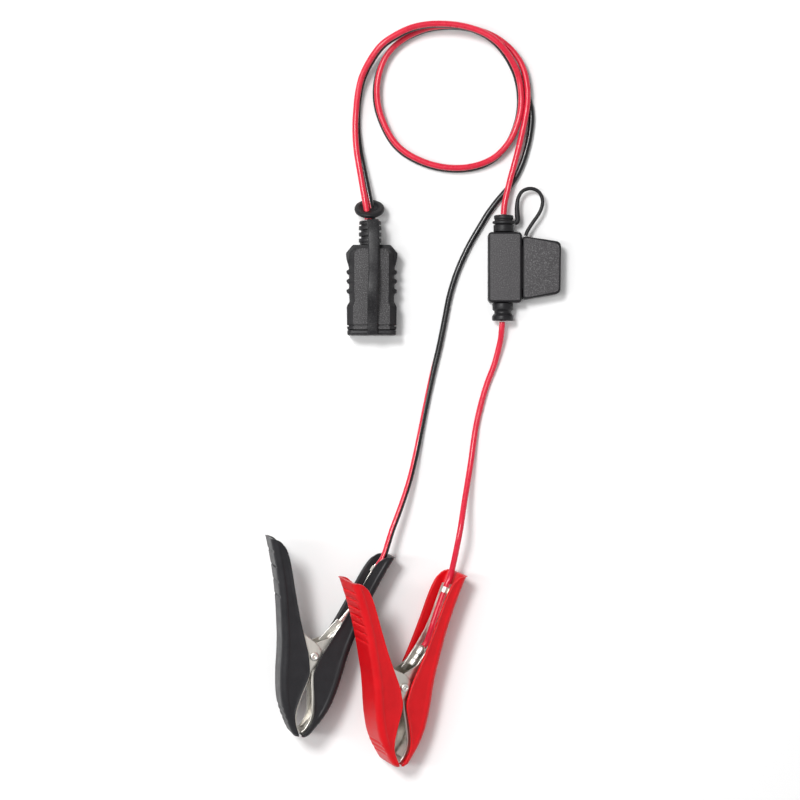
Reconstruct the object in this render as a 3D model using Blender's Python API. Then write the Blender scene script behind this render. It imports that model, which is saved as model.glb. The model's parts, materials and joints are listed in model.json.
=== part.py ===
"""A battery clamp lead of a car battery charger, laid out on a flat surface.

A quick connector with a tethered cap feeds a twin cable. Its red conductor passes a blade fuse
holder, and each conductor ends in a spring clamp for a battery post. Lengths are in millimetres
here, and MM turns them into metres. +Z is up, and the lead lies on z = 0.
"""

import math

import bmesh
import bpy
from mathutils import Matrix, Vector

MM = 0.001

# Where the lead's outline is centred in the layout below.
ORIGIN = (0.5, 1.6)

# Cable.
WIRE_RADIUS = 1.65
TWIN_PITCH = 3.8
GAP = 0.3

# Quick connector.
CONNECTOR_X = -22.3
CONNECTOR_AXIS_Z = 8.5
CONNECTOR_THICKNESS = 17.0
CONNECTOR_TOP = 127.0
CONNECTOR_FOOT = 80.8
SOCKET_HALF = (10.0, 5.0)
SOCKET_DEPTH_Y = 117.2
CARRIER_FACE_Y = 97.2
PIN_RADIUS = 1.2
PIN_OFFSET = 4.6
RELIEF_X = -23.2
RELIEF_TOP = 140.2
CAP_FOOT = 77.8
CAP_PLUG_TOP = 86.2
STRAP_THICKNESS = 1.6
RING_CENTRE = (-23.6, 146.8, 8.5)
RING_TILT = math.radians(-53.0)
RING_RADIUS = 8.2
RING_HOLE = 4.8
RING_THICKNESS = 2.6

# Blade fuse holder.
HOLDER_X = 50.4
HOLDER_Y = 114.9
HOLDER_HALF = (9.2, 19.2)
HOLDER_THICKNESS = 12.0
HOLDER_AXIS_Z = 6.3
FUSE_WIDTH = 19.1
BLADE_WIDTH = 5.2
BLADE_THICKNESS = 0.65

# Clamps. Stations along a clamp: distance from the pivot towards the grip, back and edge of a cover.
CLAMP_STATIONS = [
    (-44.0, 3.2, 0.7),
    (-42.8, 4.9, 1.1),
    (-40.0, 6.6, 2.8),
    (-35.5, 9.6, 4.7),
    (-31.0, 12.0, 5.2),
    (-25.0, 14.2, 4.3),
    (-20.0, 15.4, 3.3),
    (-14.0, 16.5, 1.8),
    (-9.0, 17.2, 0.9),
    (-4.0, 17.7, 2.3),
    (0.0, 18.2, 3.1),
    (7.0, 19.3, 6.2),
    (18.8, 21.9, 11.3),
    (27.6, 24.0, 14.6),
    (35.7, 26.3, 17.5),
    (44.2, 29.1, 20.4),
    (48.9, 30.8, 22.2),
    (52.2, 32.1, 23.7),
    (55.6, 33.4, 25.6),
    (57.8, 34.3, 27.6),
    (59.0, 34.8, 30.2),
    (59.4, 35.0, 32.6),
]
COVER_HALF = 10.0
COVER_WALL = 1.7
COVER_CORNER = 3.4
# Stations of the steel channel inside a cover: distance from the pivot, edge of its walls.
STEEL_STATIONS = [
    (-42.0, 0.3),
    (-41.0, 0.4),
    (-40.2, 1.8),
    (-35.5, 3.7),
    (-31.0, 4.2),
    (-25.0, 3.3),
    (-20.0, 2.3),
    (-14.0, 0.9),
    (-9.0, 0.3),
    (-7.5, 0.0),
    (-3.8, -2.6),
    (-2.0, -3.7),
    (0.0, -4.2),
    (2.0, -4.1),
    (4.5, -3.0),
    (7.5, 0.4),
    (9.5, 5.0),
    (11.5, 7.8),
    (18.8, 12.9),
    (27.6, 18.2),
    (35.7, 21.8),
    (44.2, 24.6),
    (53.0, 27.9),
]
STEEL_THICKNESS = 1.0
STEEL_BACK = COVER_WALL + GAP
MOVING_STEEL_HALF = 8.0
FIXED_STEEL_HALF = 6.7
EAR_HOLE = 1.8
RIVET_RADIUS = 1.5
RIVET_HEAD_RADIUS = 2.4
SPRING_RADIUS = 3.4
SPRING_WIRE = 0.8
SPRING_TURNS = 3
CRIMP_RADIUS = 2.2
CRIMP_ENDS = ((9.3, 8.8, -2.6), (15.7, 18.4, -2.2))
CRIMP_TAB_SPAN = (-3.9, 11.1)
CLIP_Y = 50.5
CLIP_HOLE = 1.95
CLIP_RADIUS = 2.7
CLIP_HALF_LENGTH = 1.6
# Where each wire lies in the grip of its fixed channel: clear of the floor, and above the middle.
WIRE_SEATS = {"black": (0.4, 3.2), "red": (0.6, 0.0)}

# A clamp's pivot in the layout, then its yaw, pitch and roll in degrees.
CLAMPS = {
    "black": ((-55.0, -95.2), (10.0, 1.0, 14.5)),
    "red": ((-8.2, -111.2), (3.0, 8.0, 28.5)),
}

# The twin cable from the connector to the split: x, y, z of the red conductor. The black one hangs
# below it, tilted by so many degrees towards the right of the way it runs.
TWIN_ROUTE = [
    (-24.6, 140.9, 9.9, 45),
    (-25.2, 146.8, 9.9, 45),
    (-26.3, 153.0, 9.6, 44),
    (-28.4, 165.0, 8.2, 38),
    (-30.8, 180.0, 6.7, 28),
    (-31.4, 192.0, 5.9, 18),
    (-31.0, 200.5, 5.7, 13),
    (-30.1, 209.4, 6.3, 12),
    (-27.9, 218.7, 8.3, 12),
    (-23.4, 227.6, 10.8, 12),
    (-17.1, 235.8, 12.6, 10),
    (-9.1, 241.3, 13.0, 8),
    (-0.9, 245.1, 13.0, 4),
    (7.2, 246.9, 13.0, 0),
    (15.4, 247.3, 13.0, 0),
    (23.6, 246.7, 13.0, 0),
    (31.7, 245.0, 13.0, 0),
    (39.7, 241.8, 13.0, 4),
    (46.0, 237.4, 12.8, 8),
    (51.0, 232.1, 11.4, 12),
    (54.5, 227.0, 9.2, 14),
    (57.3, 221.4, 7.0, 14),
    (58.9, 215.2, 5.8, 12),
    (59.5, 208.7, 5.6, 10),
    (59.2, 202.1, 5.6, 8),
    (57.8, 195.3, 5.6, 6),
    (54.7, 187.0, 5.5, 4),
    (50.3, 180.5, 5.5, 0),
    (44.6, 175.2, 5.5, -6),
    (37.3, 171.7, 5.5, -12),
    (28.5, 169.8, 5.5, -11),
    (19.4, 169.8, 5.5, -11),
    (10.8, 171.4, 5.5, -11),
    (2.7, 174.4, 5.5, -11),
    (-4.8, 178.8, 5.5, -11),
    (-10.6, 184.6, 5.5, -11),
    (-15.4, 193.2, 5.5, -11),
    (-18.6, 202.8, 5.5, -13),
    (-19.5, 212.0, 5.5, -12),
    (-18.5, 220.4, 5.5, -10),
    (-15.8, 228.2, 5.5, -8),
    (-11.6, 234.5, 5.5, -6),
    (-6.2, 239.3, 5.5, -4),
    (0.8, 243.4, 5.5, 0),
    (8.4, 246.1, 5.5, 0),
    (15.6, 247.2, 5.5, 0),
    (23.8, 247.4, 5.5, 0),
    (31.4, 246.3, 5.5, 0),
    (39.1, 244.0, 5.5, 0),
    (45.6, 241.0, 5.5, -4),
    (51.0, 237.2, 5.5, -8),
    (55.4, 232.8, 5.5, -8),
    (59.0, 227.5, 5.5, -8),
    (61.4, 221.7, 5.5, -8),
    (62.7, 215.0, 5.5, -10),
    (63.0, 208.4, 5.5, -11),
]
# The red conductor from the split to the fuse holder.
RED_ROUTE = [
    (62.5, 202.0, 5.4),
    (61.2, 194.5, 5.4),
    (59.5, 186.8, 5.4),
    (57.7, 179.2, 5.5),
    (55.6, 171.2, 5.6),
    (53.4, 163.2, 5.7),
    (51.6, 155.8, 5.9),
    (50.3, 149.6, 6.2),
    (49.8, 144.0, 6.3),
]
# The black conductor from the split to its clamp, under the red one.
BLACK_ROUTE = [
    (65.0, 202.4, 1.75),
    (65.3, 195.5, 1.75),
    (64.3, 187.5, 1.75),
    (62.6, 180.0, 1.75),
    (60.1, 172.2, 1.75),
    (56.6, 164.8, 1.75),
    (52.0, 158.2, 1.75),
    (46.7, 152.0, 1.75),
    (41.6, 145.2, 1.75),
    (36.7, 137.2, 1.75),
    (31.9, 129.0, 1.75),
    (27.9, 121.0, 1.75),
    (24.5, 113.0, 1.75),
    (21.8, 105.0, 1.75),
    (19.7, 97.0, 1.75),
    (17.6, 86.0, 1.75),
    (14.5, 71.0, 1.75),
    (10.8, 55.7, 1.75),
    (7.5, 40.3, 1.75),
    (4.6, 26.0, 2.2),
    (1.6, 11.8, 4.0),
    (-1.9, -2.2, 7.0),
    (-6.6, -16.2, 10.0),
    (-11.4, -29.0, 12.0),
]
# The red conductor from the fuse holder to its clamp.
LEAD_ROUTE = [
    (49.1, 85.2, 6.3),
    (48.7, 80.5, 5.8),
    (48.0, 74.5, 4.4),
    (45.0, 62.5, 2.4),
    (40.4, 50.0, 1.8),
    (36.9, 37.5, 1.75),
    (34.4, 25.5, 2.0),
    (31.7, 7.0, 4.5),
    (28.4, -12.0, 10.0),
    (25.4, -30.0, 16.0),
]
TETHER_ROUTE = [
    (57.3, 140.9, 6.3),
    (57.2, 144.7, 6.3),
    (57.2, 149.2, 6.3),
    (57.9, 153.3, 6.3),
    (60.2, 156.8, 6.3),
    (64.2, 158.2, 6.3),
    (67.9, 157.2, 6.3),
    (70.3, 154.5, 6.3),
    (71.1, 150.7, 6.3),
    (70.3, 146.9, 6.3),
    (68.6, 143.6, 6.3),
    (66.3, 140.3, 6.3),
    (64.2, 137.2, 6.3),
    (62.7, 133.4, 6.3),
]
TETHER_RADIUS = 1.0


def clear_scene():
    for obj in list(bpy.data.objects):
        bpy.data.objects.remove(obj, do_unlink=True)


def material(name, colour, roughness, metallic=0.0):
    made = bpy.data.materials.new(name)
    made.use_nodes = True
    shader = made.node_tree.nodes["Principled BSDF"]
    shader.inputs["Base Color"].default_value = (*colour, 1.0)
    shader.inputs["Roughness"].default_value = roughness
    shader.inputs["Metallic"].default_value = metallic
    made.diffuse_color = (*colour, 1.0)
    return made


def empty(name, parent, matrix=None):
    made = bpy.data.objects.new(name, None)
    made.empty_display_size = 0.01
    bpy.context.scene.collection.objects.link(made)
    made.parent = parent
    if matrix is not None:
        made.matrix_local = matrix
    return made


def at(x, y, z):
    return Matrix.Translation(Vector((x, y, z)) * MM)


def solid(name, points, faces, mat, parent, matrix=None, sharp=35.0):
    """One mesh object from points in millimetres, with its faces turned outwards."""
    mesh = bpy.data.meshes.new(name)
    mesh.from_pydata([Vector(p) * MM for p in points], [], faces)
    shape = bmesh.new()
    shape.from_mesh(mesh)
    bmesh.ops.recalc_face_normals(shape, faces=shape.faces)
    shape.to_mesh(mesh)
    shape.free()
    mesh.materials.append(mat)
    mesh.shade_smooth()
    mesh.set_sharp_from_angle(angle=math.radians(sharp))
    made = bpy.data.objects.new(name, mesh)
    bpy.context.scene.collection.objects.link(made)
    made.parent = parent
    if matrix is not None:
        made.matrix_local = matrix
    return made


def loft(name, rings, mat, parent, matrix=None, closed=False):
    """Skins rings of equally many points. The ends are capped, or joined if closed."""
    count = len(rings[0])
    points = [p for ring in rings for p in ring]
    faces = []
    spans = len(rings) if closed else len(rings) - 1
    for i in range(spans):
        a = i * count
        b = (i + 1) % len(rings) * count
        for j in range(count):
            k = (j + 1) % count
            faces.append((a + j, a + k, b + k, b + j))
    if not closed:
        faces.append(tuple(range(count))[::-1])
        faces.append(tuple(range(len(points) - count, len(points))))
    return solid(name, points, faces, mat, parent, matrix)


def turned(name, profile, mat, parent, matrix=None, steps=24, squash=1.0, hollow=False):
    """A turned piece about its own z axis from (radius, height) points, flattened by squash along y."""
    rings = []
    for radius, height in profile:
        ring = []
        for i in range(steps):
            angle = 2 * math.pi * i / steps
            ring.append((radius * math.cos(angle), squash * radius * math.sin(angle), height))
        rings.append(ring)
    return loft(name, rings, mat, parent, matrix, closed=hollow)


def rounded(half_x, half_y, corner, steps=3):
    """A rectangle about the origin with round corners."""
    outline = []
    for turn, (sx, sy) in enumerate(((1, 1), (-1, 1), (-1, -1), (1, -1))):
        for i in range(steps + 1):
            angle = math.radians(90 * turn + 90 * i / steps)
            x = sx * (half_x - corner) + corner * math.cos(angle)
            y = sy * (half_y - corner) + corner * math.sin(angle)
            outline.append((x, y))
    return outline


def stacked(name, layers, mat, parent, matrix=None):
    """A loft through outlines of (x, y) at rising heights."""
    rings = [[(x, y, z) for x, y in outline] for outline, z in layers]
    return loft(name, rings, mat, parent, matrix)


def block(name, half_x, half_y, z0, z1, mat, parent, matrix=None, corner=0.6, edge=0.5):
    """A box with round corners and chamfered rims."""
    small = rounded(half_x - edge, half_y - edge, max(corner - edge, 0.15))
    full = rounded(half_x, half_y, corner)
    layers = [(small, z0), (full, z0 + edge), (full, z1 - edge), (small, z1)]
    return stacked(name, layers, mat, parent, matrix)


def cutter(obj):
    obj.hide_render = True
    obj.display_type = "WIRE"
    return obj


def boolean(obj, tool, operation="DIFFERENCE"):
    modifier = obj.modifiers.new(operation.title(), "BOOLEAN")
    modifier.operation = operation
    modifier.solver = "EXACT"
    modifier.object = cutter(tool)


def smooth_path(route, spacing):
    """Points about spacing apart on a smooth curve through the route's points."""
    points = [Vector(p) for p in route]
    points = [2 * points[0] - points[1], *points, 2 * points[-1] - points[-2]]
    fine = []
    for i in range(1, len(points) - 2):
        before, start, end, after = points[i - 1 : i + 3]
        for step in range(12):
            t = step / 12
            fine.append(
                0.5
                * (
                    2 * start
                    + (end - before) * t
                    + (2 * before - 5 * start + 4 * end - after) * t**2
                    + (3 * start - before - 3 * end + after) * t**3
                )
            )
    fine.append(points[-2])
    ways = [0.0]
    for a, b in zip(fine, fine[1:]):
        ways.append(ways[-1] + (b - a).length)
    count = max(2, round(ways[-1] / spacing))
    path = []
    at_span = 0
    for i in range(count + 1):
        way = ways[-1] * i / count
        while at_span < len(fine) - 2 and ways[at_span + 1] < way:
            at_span += 1
        share = (way - ways[at_span]) / (ways[at_span + 1] - ways[at_span])
        path.append(fine[at_span].lerp(fine[at_span + 1], share))
    return path


def tube(name, path, radius, mat, parent, resolution=2):
    """A round bar along a path, with flat ends."""
    curve = bpy.data.curves.new(name, "CURVE")
    curve.dimensions = "3D"
    curve.bevel_depth = radius * MM
    curve.bevel_resolution = resolution
    curve.use_fill_caps = True
    spline = curve.splines.new("POLY")
    spline.points.add(len(path) - 1)
    for point, place in zip(spline.points, path):
        point.co = (*(Vector(place) * MM), 1.0)
    spline.use_smooth = True
    curve.materials.append(mat)
    made = bpy.data.objects.new(name, curve)
    bpy.context.scene.collection.objects.link(made)
    made.parent = parent
    return made


def mirrored(half):
    """A closed outline from its right half, which runs from top to bottom."""
    return half + [(-x, y) for x, y in reversed(half)]


# ---------------------------------------------------------------- quick connector


def connector_half(inset, panel=0.0):
    """The right half of the connector's outline, drawn in by inset and, on its front, by panel."""
    top = CONNECTOR_TOP - CONNECTOR_FOOT
    points = [(10.3, top), (14.1, top - 4.6), (13.7, top - 8.0), (12.6, top - 11.6)]
    for middle in (31.3, 26.3, 20.9):
        points += [
            (12.4, middle + 1.3),
            (13.8, middle + 0.9),
            (13.7, middle - 0.5),
            (12.3, middle - 1.2),
        ]
    points += [(12.1, 15.2), (13.6, 12.6), (13.4, 0.9), (13.1, 0.0)]
    low = 0.0 if inset == 0 else inset * 0.5
    drawn = []
    for x, y in points:
        if panel:
            x = min(x, 13.0 if y < 14 else 13.2)
            x = min(x - panel, 12.4 - panel if y > 14.5 else 99)
            y = min(y, top - 2.3)
        drawn.append((x - inset, min(max(y, low), top - inset)))
    return drawn


def make_connector(root, mats):
    foot = at(CONNECTOR_X, CONNECTOR_FOOT, 0)
    body = stacked(
        "connector_body",
        [
            (mirrored(connector_half(1.2)), 0.0),
            (mirrored(connector_half(0.0)), 1.4),
            (mirrored(connector_half(0.0)), 12.6),
            (mirrored(connector_half(0.0, 2.9)), CONNECTOR_THICKNESS),
        ],
        mats["connector"],
        root,
        foot,
    )
    along_y = Matrix.Rotation(math.radians(-90), 4, "X")
    socket = block(
        "socket_cutter",
        *SOCKET_HALF,
        -8.0,
        SOCKET_DEPTH_Y - CONNECTOR_FOOT,
        mats["connector"],
        root,
        at(CONNECTOR_X, CONNECTOR_FOOT, CONNECTOR_AXIS_Z) @ along_y,
        corner=1.6,
    )
    boolean(body, socket)

    carrier = block(
        "contact_carrier",
        SOCKET_HALF[0] - 0.4,
        SOCKET_HALF[1] - 0.4,
        0.0,
        SOCKET_DEPTH_Y - CARRIER_FACE_Y - 0.4,
        mats["carrier"],
        root,
        at(CONNECTOR_X, CARRIER_FACE_Y, CONNECTOR_AXIS_Z) @ along_y,
        corner=1.4,
    )
    for name, side in (("contact_positive", -1), ("contact_negative", 1)):
        place = at(CONNECTOR_X + side * PIN_OFFSET, CARRIER_FACE_Y, CONNECTOR_AXIS_Z) @ along_y
        bore = turned(
            name + "_bore",
            [(PIN_RADIUS + GAP, -2.0), (PIN_RADIUS + GAP, 24.0)],
            mats["carrier"],
            root,
            place,
            steps=16,
        )
        boolean(carrier, bore)
        pin = [(0.7, -9.0), (PIN_RADIUS, -8.0), (PIN_RADIUS, 17.6), (0.9, 18.2)]
        turned(name, pin, mats["brass"], root, place, steps=16)

    # The boot's ribs stand proud of its core.
    length = RELIEF_TOP - CONNECTOR_TOP - GAP
    profile = [(5.6, 0.0)]
    for start in (1.1, 4.5, 7.9):
        profile += [(5.6, start), (6.2, start + 0.3), (6.2, start + 2.0), (5.0, start + 2.4)]
        profile += [(5.0, start + 3.0)]
    profile += [(6.0, length - 1.9), (6.0, length - 0.6), (5.4, length)]
    turned(
        "connector_strain_relief",
        profile,
        mats["rubber"],
        root,
        at(RELIEF_X, CONNECTOR_TOP + GAP, CONNECTOR_AXIS_Z) @ along_y,
        steps=16,
        squash=0.84,
    )

    # The cap: a plate under the foot, with a plug that fills the mouth of the socket.
    half_x, half_z = 13.3, 8.1
    rim = rounded(half_x, half_z, 3.0)
    inner = rounded(half_x - 0.7, half_z - 0.7, 2.3)
    plug = rounded(SOCKET_HALF[0] - 0.4, SOCKET_HALF[1] - 0.4, 1.4)
    tip = rounded(SOCKET_HALF[0] - 1.0, SOCKET_HALF[1] - 1.0, 0.8)
    top = CONNECTOR_FOOT - GAP
    layers = [
        (inner, CAP_FOOT),
        (rim, CAP_FOOT + 0.7),
        (rim, top - 0.4),
        (inner, top),
        (plug, top),
        (plug, CAP_PLUG_TOP - 0.6),
        (tip, CAP_PLUG_TOP),
    ]
    rings = [[(x, y, -z) for x, z in outline] for outline, y in layers]
    loft("connector_cap", rings, mats["rubber"], root, at(CONNECTOR_X, 0, CONNECTOR_AXIS_Z))

    face = RING_THICKNESS / 2
    ring = [
        (RING_HOLE, -face + 0.5),
        (RING_HOLE + 0.5, -face),
        (RING_RADIUS - 0.6, -face),
        (RING_RADIUS, -face + 0.6),
    ]
    ring += [(radius, -height) for radius, height in reversed(ring)]
    turned(
        "cap_ring",
        ring,
        mats["rubber"],
        root,
        at(*RING_CENTRE) @ Matrix.Rotation(RING_TILT, 4, "X"),
        steps=22,
        hollow=True,
    )
    make_strap(root, mats)


STRAP_ROUTE = [
    (-21.6, 140.3, 16.3),
    (-21.4, 138.0, 17.1),
    (-21.2, 133.2, 18.4),
    (-21.1, 126.2, 18.9),
    (-21.1, 118.2, 19.6),
    (-21.3, 110.2, 21.6),
    (-21.6, 103.2, 22.6),
    (-21.8, 97.2, 21.9),
    (-21.8, 91.2, 20.0),
    (-21.8, 85.2, 18.8),
    (-21.8, 80.6, 18.3),
    (-21.8, 78.1, 17.6),
]


def make_strap(root, mats):
    """A flat strap from the ring, over the connector's front, to the cap's front edge."""
    path = smooth_path(STRAP_ROUTE, 3.2)
    rings = []
    for i, middle in enumerate(path):
        ahead = path[min(i + 1, len(path) - 1)] - path[max(i - 1, 0)]
        up = Vector((1, 0, 0)).cross(ahead).normalized()
        if up.z < 0:
            up.negate()
        share = i / (len(path) - 1)
        half = 3.25 - 0.5 * min(share * 2.5, 1.0)
        thick = STRAP_THICKNESS / 2
        section = [(-half, -0.5), (-half + 0.4, -1), (half - 0.4, -1), (half, -0.5)]
        section += [(x, -z) for x, z in reversed(section)]
        rings.append([middle + Vector((x, 0, 0)) + up * (thick * z) for x, z in section])
    loft("cap_strap", rings, mats["rubber"], root)


# ---------------------------------------------------------------- fuse holder


def make_fuse_holder(root, mats):
    half_x, half_y = HOLDER_HALF
    centre = at(HOLDER_X, HOLDER_Y, 0)
    body = block(
        "fuse_holder_body", half_x, half_y, 0, HOLDER_THICKNESS, mats["holder"], root, centre, 2.0, 1.0
    )
    mouth = block(
        "holder_mouth_cutter", 9.0, 12.2, -4.3, 4.3, mats["holder"], root,
        at(HOLDER_X + 10.6, HOLDER_Y, HOLDER_AXIS_Z), 1.0, 0.4,
    )
    pocket = block(
        "holder_pocket_cutter", 9.0, 11.2, -2.6, 2.6, mats["holder"], root,
        at(HOLDER_X + 2.2, HOLDER_Y, HOLDER_AXIS_Z), 0.8, 0.3,
    )
    boolean(body, mouth)
    boolean(body, pocket)

    # Boots at both ends, turned about the wire.
    along_y = Matrix.Rotation(math.radians(-90), 4, "X")
    upper = [(5.2, 0.0), (5.6, 0.4), (5.6, 3.6), (4.9, 4.1), (6.1, 4.6), (6.1, 5.8), (4.9, 6.3)]
    upper += [(4.9, 6.8), (5.3, 7.2), (5.3, 8.5), (4.7, 9.1)]
    turned(
        "fuse_holder_upper_boot", upper, mats["rubber"], root,
        at(49.8, HOLDER_Y + half_y + GAP, HOLDER_AXIS_Z) @ along_y, steps=18,
    )
    lower = [(5.4, 0.0), (5.7, 0.4), (5.7, 3.4), (4.6, 4.6), (4.6, 5.6), (5.8, 7.0), (5.9, 9.0)]
    lower += [(5.4, 9.6)]
    turned(
        "fuse_holder_lower_boot", lower, mats["rubber"], root,
        at(49.3, HOLDER_Y - half_y - GAP, HOLDER_AXIS_Z) @ along_y.inverted(), steps=18,
    )

    # The cap: a wedge-ended box, hollow round the fuse, whose skirt enters the holder's mouth.
    outline = [(60.0, 130.9), (61.2, 131.8), (78.7, 129.1), (80.4, 128.2), (81.0, 126.4)]
    outline += [(80.6, 102.4), (79.9, 101.0), (78.4, 100.3), (61.2, 97.4), (60.0, 98.2)]
    inner = []
    for x, y in outline:
        inner.append((min(max(x, 60.9), 80.1), HOLDER_Y + (y - HOLDER_Y) * 0.955))
    cap = stacked(
        "fuse_cap",
        [(inner, 0.7), (outline, 1.5), (outline, 10.9), (inner, 11.7)],
        mats["holder"],
        root,
    )
    skirt = block(
        "fuse_cap_skirt", 1.8, 11.8, -3.9, 3.9, mats["holder"], root,
        at(HOLDER_X + half_x - 0.2, HOLDER_Y, HOLDER_AXIS_Z), 0.9, 0.4,
    )
    room = block(
        "fuse_cap_cutter", 7.6, 10.4, -3.1, 3.1, mats["holder"], root,
        at(HOLDER_X + half_x + 1.0, HOLDER_Y, HOLDER_AXIS_Z), 0.7, 0.3,
    )
    boolean(cap, skirt, "UNION")
    boolean(cap, room)
    tube("fuse_cap_tether", smooth_path(TETHER_ROUTE, 2.4), TETHER_RADIUS, mats["rubber"], root, 1)

    # The fuse: a plastic body slotted round one flat link with two blades.
    fuse = block(
        "fuse_body", 6.6, FUSE_WIDTH / 2, -2.5, 2.5, mats["fuse"], root,
        at(HOLDER_X + 9.2, HOLDER_Y, HOLDER_AXIS_Z), 1.0, 0.4,
    )
    slot = block(
        "fuse_slot_cutter", 6.4, 8.9, -0.65, 0.65, mats["fuse"], root,
        at(HOLDER_X + 8.0, HOLDER_Y, HOLDER_AXIS_Z), 0.4, 0.15,
    )
    boolean(fuse, slot)
    outer = 8.5
    inner_edge = outer - BLADE_WIDTH
    link = [(-6.9, outer - 0.6), (-6.3, outer), (11.6, outer), (11.6, -outer), (-6.3, -outer)]
    link += [(-6.9, -outer + 0.6), (-6.9, -inner_edge - 0.4), (-6.3, -inner_edge)]
    link += [(8.6, -inner_edge), (8.6, inner_edge), (-6.3, inner_edge), (-6.9, inner_edge + 0.4)]
    link = [(x + 2.3, y) for x, y in link]
    half = BLADE_THICKNESS / 2
    stacked(
        "fuse_link", [(link, -half), (link, half)], mats["tin"], root,
        at(HOLDER_X, HOLDER_Y, HOLDER_AXIS_Z),
    )
    for name, side in (("fuse_terminal_upper", 1), ("fuse_terminal_lower", -1)):
        middle = at(HOLDER_X - 2.3, HOLDER_Y + side * 6.0, HOLDER_AXIS_Z)
        clip = block(name, 4.0, 3.7, -2.2, 2.2, mats["tin"], root, middle, 0.5, 0.4)
        jaw = block(
            name + "_cutter", 4.0, 3.3, -0.65, 0.65, mats["tin"], root,
            middle @ at(1.2, 0, 0), 0.3, 0.15,
        )
        boolean(clip, jaw)


# ---------------------------------------------------------------- clamps


def between(stations, y, column):
    """The value in a column of the stations at y."""
    for low, high in zip(stations, stations[1:]):
        if low[0] <= y <= high[0]:
            share = (y - low[0]) / (high[0] - low[0])
            return low[column] + share * (high[column] - low[column])
    return stations[0][column] if y < stations[0][0] else stations[-1][column]


def channel(y, side, back, edge, half, wall, floor, corner, steps):
    """A U-shaped section across a clamp at y, open towards the other half."""
    corner = min(corner, 0.8 * (back - edge))
    outer = [(edge, -half)]
    for i in range(steps + 1):
        angle = math.radians(90 * i / steps)
        x = back - corner + corner * math.sin(angle)
        outer.append((x, -half + corner - corner * math.cos(angle)))
    outer += [(x, -z) for x, z in reversed(outer)]
    floor = min(floor, back - edge - 0.12)
    fillet = min(max(corner - wall, 0.3), 0.8 * (back - floor - edge))
    inner = [(edge, half - wall), (back - floor - fillet, half - wall)]
    inner.append((back - floor, half - wall - fillet))
    inner += [(x, -z) for x, z in reversed(inner)]
    return [(side * x, y, z) for x, z in outer + inner]


def cover_rings(side):
    rings = []
    for y, back, edge in CLAMP_STATIONS:
        half = COVER_HALF
        if y < -43.5:
            half = COVER_HALF - 1.2
        rings.append(channel(y, side, back, edge, half, COVER_WALL, COVER_WALL, COVER_CORNER, 3))
    return rings


def steel_rings(side, half):
    rings = []
    for y, edge in STEEL_STATIONS:
        back = between(CLAMP_STATIONS, y, 1) - STEEL_BACK
        floor = 9.0 if y < -40.5 else STEEL_THICKNESS
        rings.append(channel(y, side, back, edge, half, STEEL_THICKNESS, floor, 1.9, 1))
    return rings


def clamp_matrix(colour):
    """A clamp's frame: x to the right, y to the grip and z along its pivot, lying on the surface."""
    (x, y), (yaw, pitch, roll) = CLAMPS[colour]
    turn = (
        Matrix.Rotation(math.radians(-yaw), 4, "Z")
        @ Matrix.Rotation(math.radians(pitch), 4, "X")
        @ Matrix.Rotation(math.radians(roll), 4, "Y")
    )
    low = min((turn @ Vector(p)).z for side in (-1, 1) for ring in cover_rings(side) for p in ring)
    return at(x, y, 0.02 - low) @ turn


def spring_path():
    """The torsion spring: a coil about the pivot, with a leg to the floor of each channel."""
    rise = 1.95
    start = math.radians(150)
    sweep = math.radians(360 * SPRING_TURNS - 120)
    coil = []
    for i in range(31):
        angle = start + sweep * i / 30
        height = rise * SPRING_TURNS * (i / 30 - 0.5)
        coil.append((SPRING_RADIUS * math.cos(angle), SPRING_RADIUS * math.sin(angle), height))
    left_floor = between(CLAMP_STATIONS, 21.0, 1) - STEEL_BACK - STEEL_THICKNESS - 1.2
    left = [(-left_floor, 21.0, -3.0), (-9.4, 9.0, -2.9)]
    right = [(9.0, 9.0, 3.2), (12.5, 14.0, 4.0), (left_floor, 22.0, 4.1)]
    return left + coil + right


def make_clamp(colour, root, mats):
    frame = empty(colour + "_clamp_frame", root, clamp_matrix(colour))
    swing = empty(colour + "_clamp_swing", frame)
    cover = mats[colour + "_cover"]
    steel = mats["steel"]
    loft(colour + "_cover_fixed", cover_rings(1), cover, frame)
    loft(colour + "_cover_moving", cover_rings(-1), cover, swing)
    jaws = (
        (colour + "_jaw_fixed", 1, FIXED_STEEL_HALF, frame),
        (colour + "_jaw_moving", -1, MOVING_STEEL_HALF, swing),
    )
    for name, side, half, parent in jaws:
        jaw = loft(name, steel_rings(side, half), steel, parent)
        hole = [(EAR_HOLE, -12.0), (EAR_HOLE, 12.0)]
        boolean(jaw, turned(name + "_hole", hole, steel, parent, steps=16))
        if side == 1:
            boolean(jaw, make_clip(colour, steel, parent), "UNION")
    under = MOVING_STEEL_HALF + GAP
    rivet = [(0.8, under - 0.5), (0.8, under + 0.9), (1.3, under + 1.1), (2.0, under + 0.9)]
    rivet += [(RIVET_HEAD_RADIUS, under + 0.4), (RIVET_HEAD_RADIUS, under), (RIVET_RADIUS, under)]
    rivet = [(0.8, -under + 0.5)] + [(r, -z) for r, z in rivet[1:]] + rivet[:0:-1] + [(0.8, under - 0.5)]
    turned(colour + "_pivot_rivet", rivet, steel, frame, steps=14)
    tube(colour + "_spring", spring_path(), SPRING_WIRE, steel, frame, 1)
    make_crimp(colour, frame, mats)
    return frame


def wire_place(colour, y):
    """Where the wire's middle lies in a fixed channel at y."""
    clear, lift = WIRE_SEATS[colour]
    reach = STEEL_BACK + STEEL_THICKNESS + clear + WIRE_RADIUS
    lift *= min(max((y - 28.0) / 16.0, 0.0), 1.0)
    return Vector((between(CLAMP_STATIONS, y, 1) - reach, y, lift))


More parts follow.
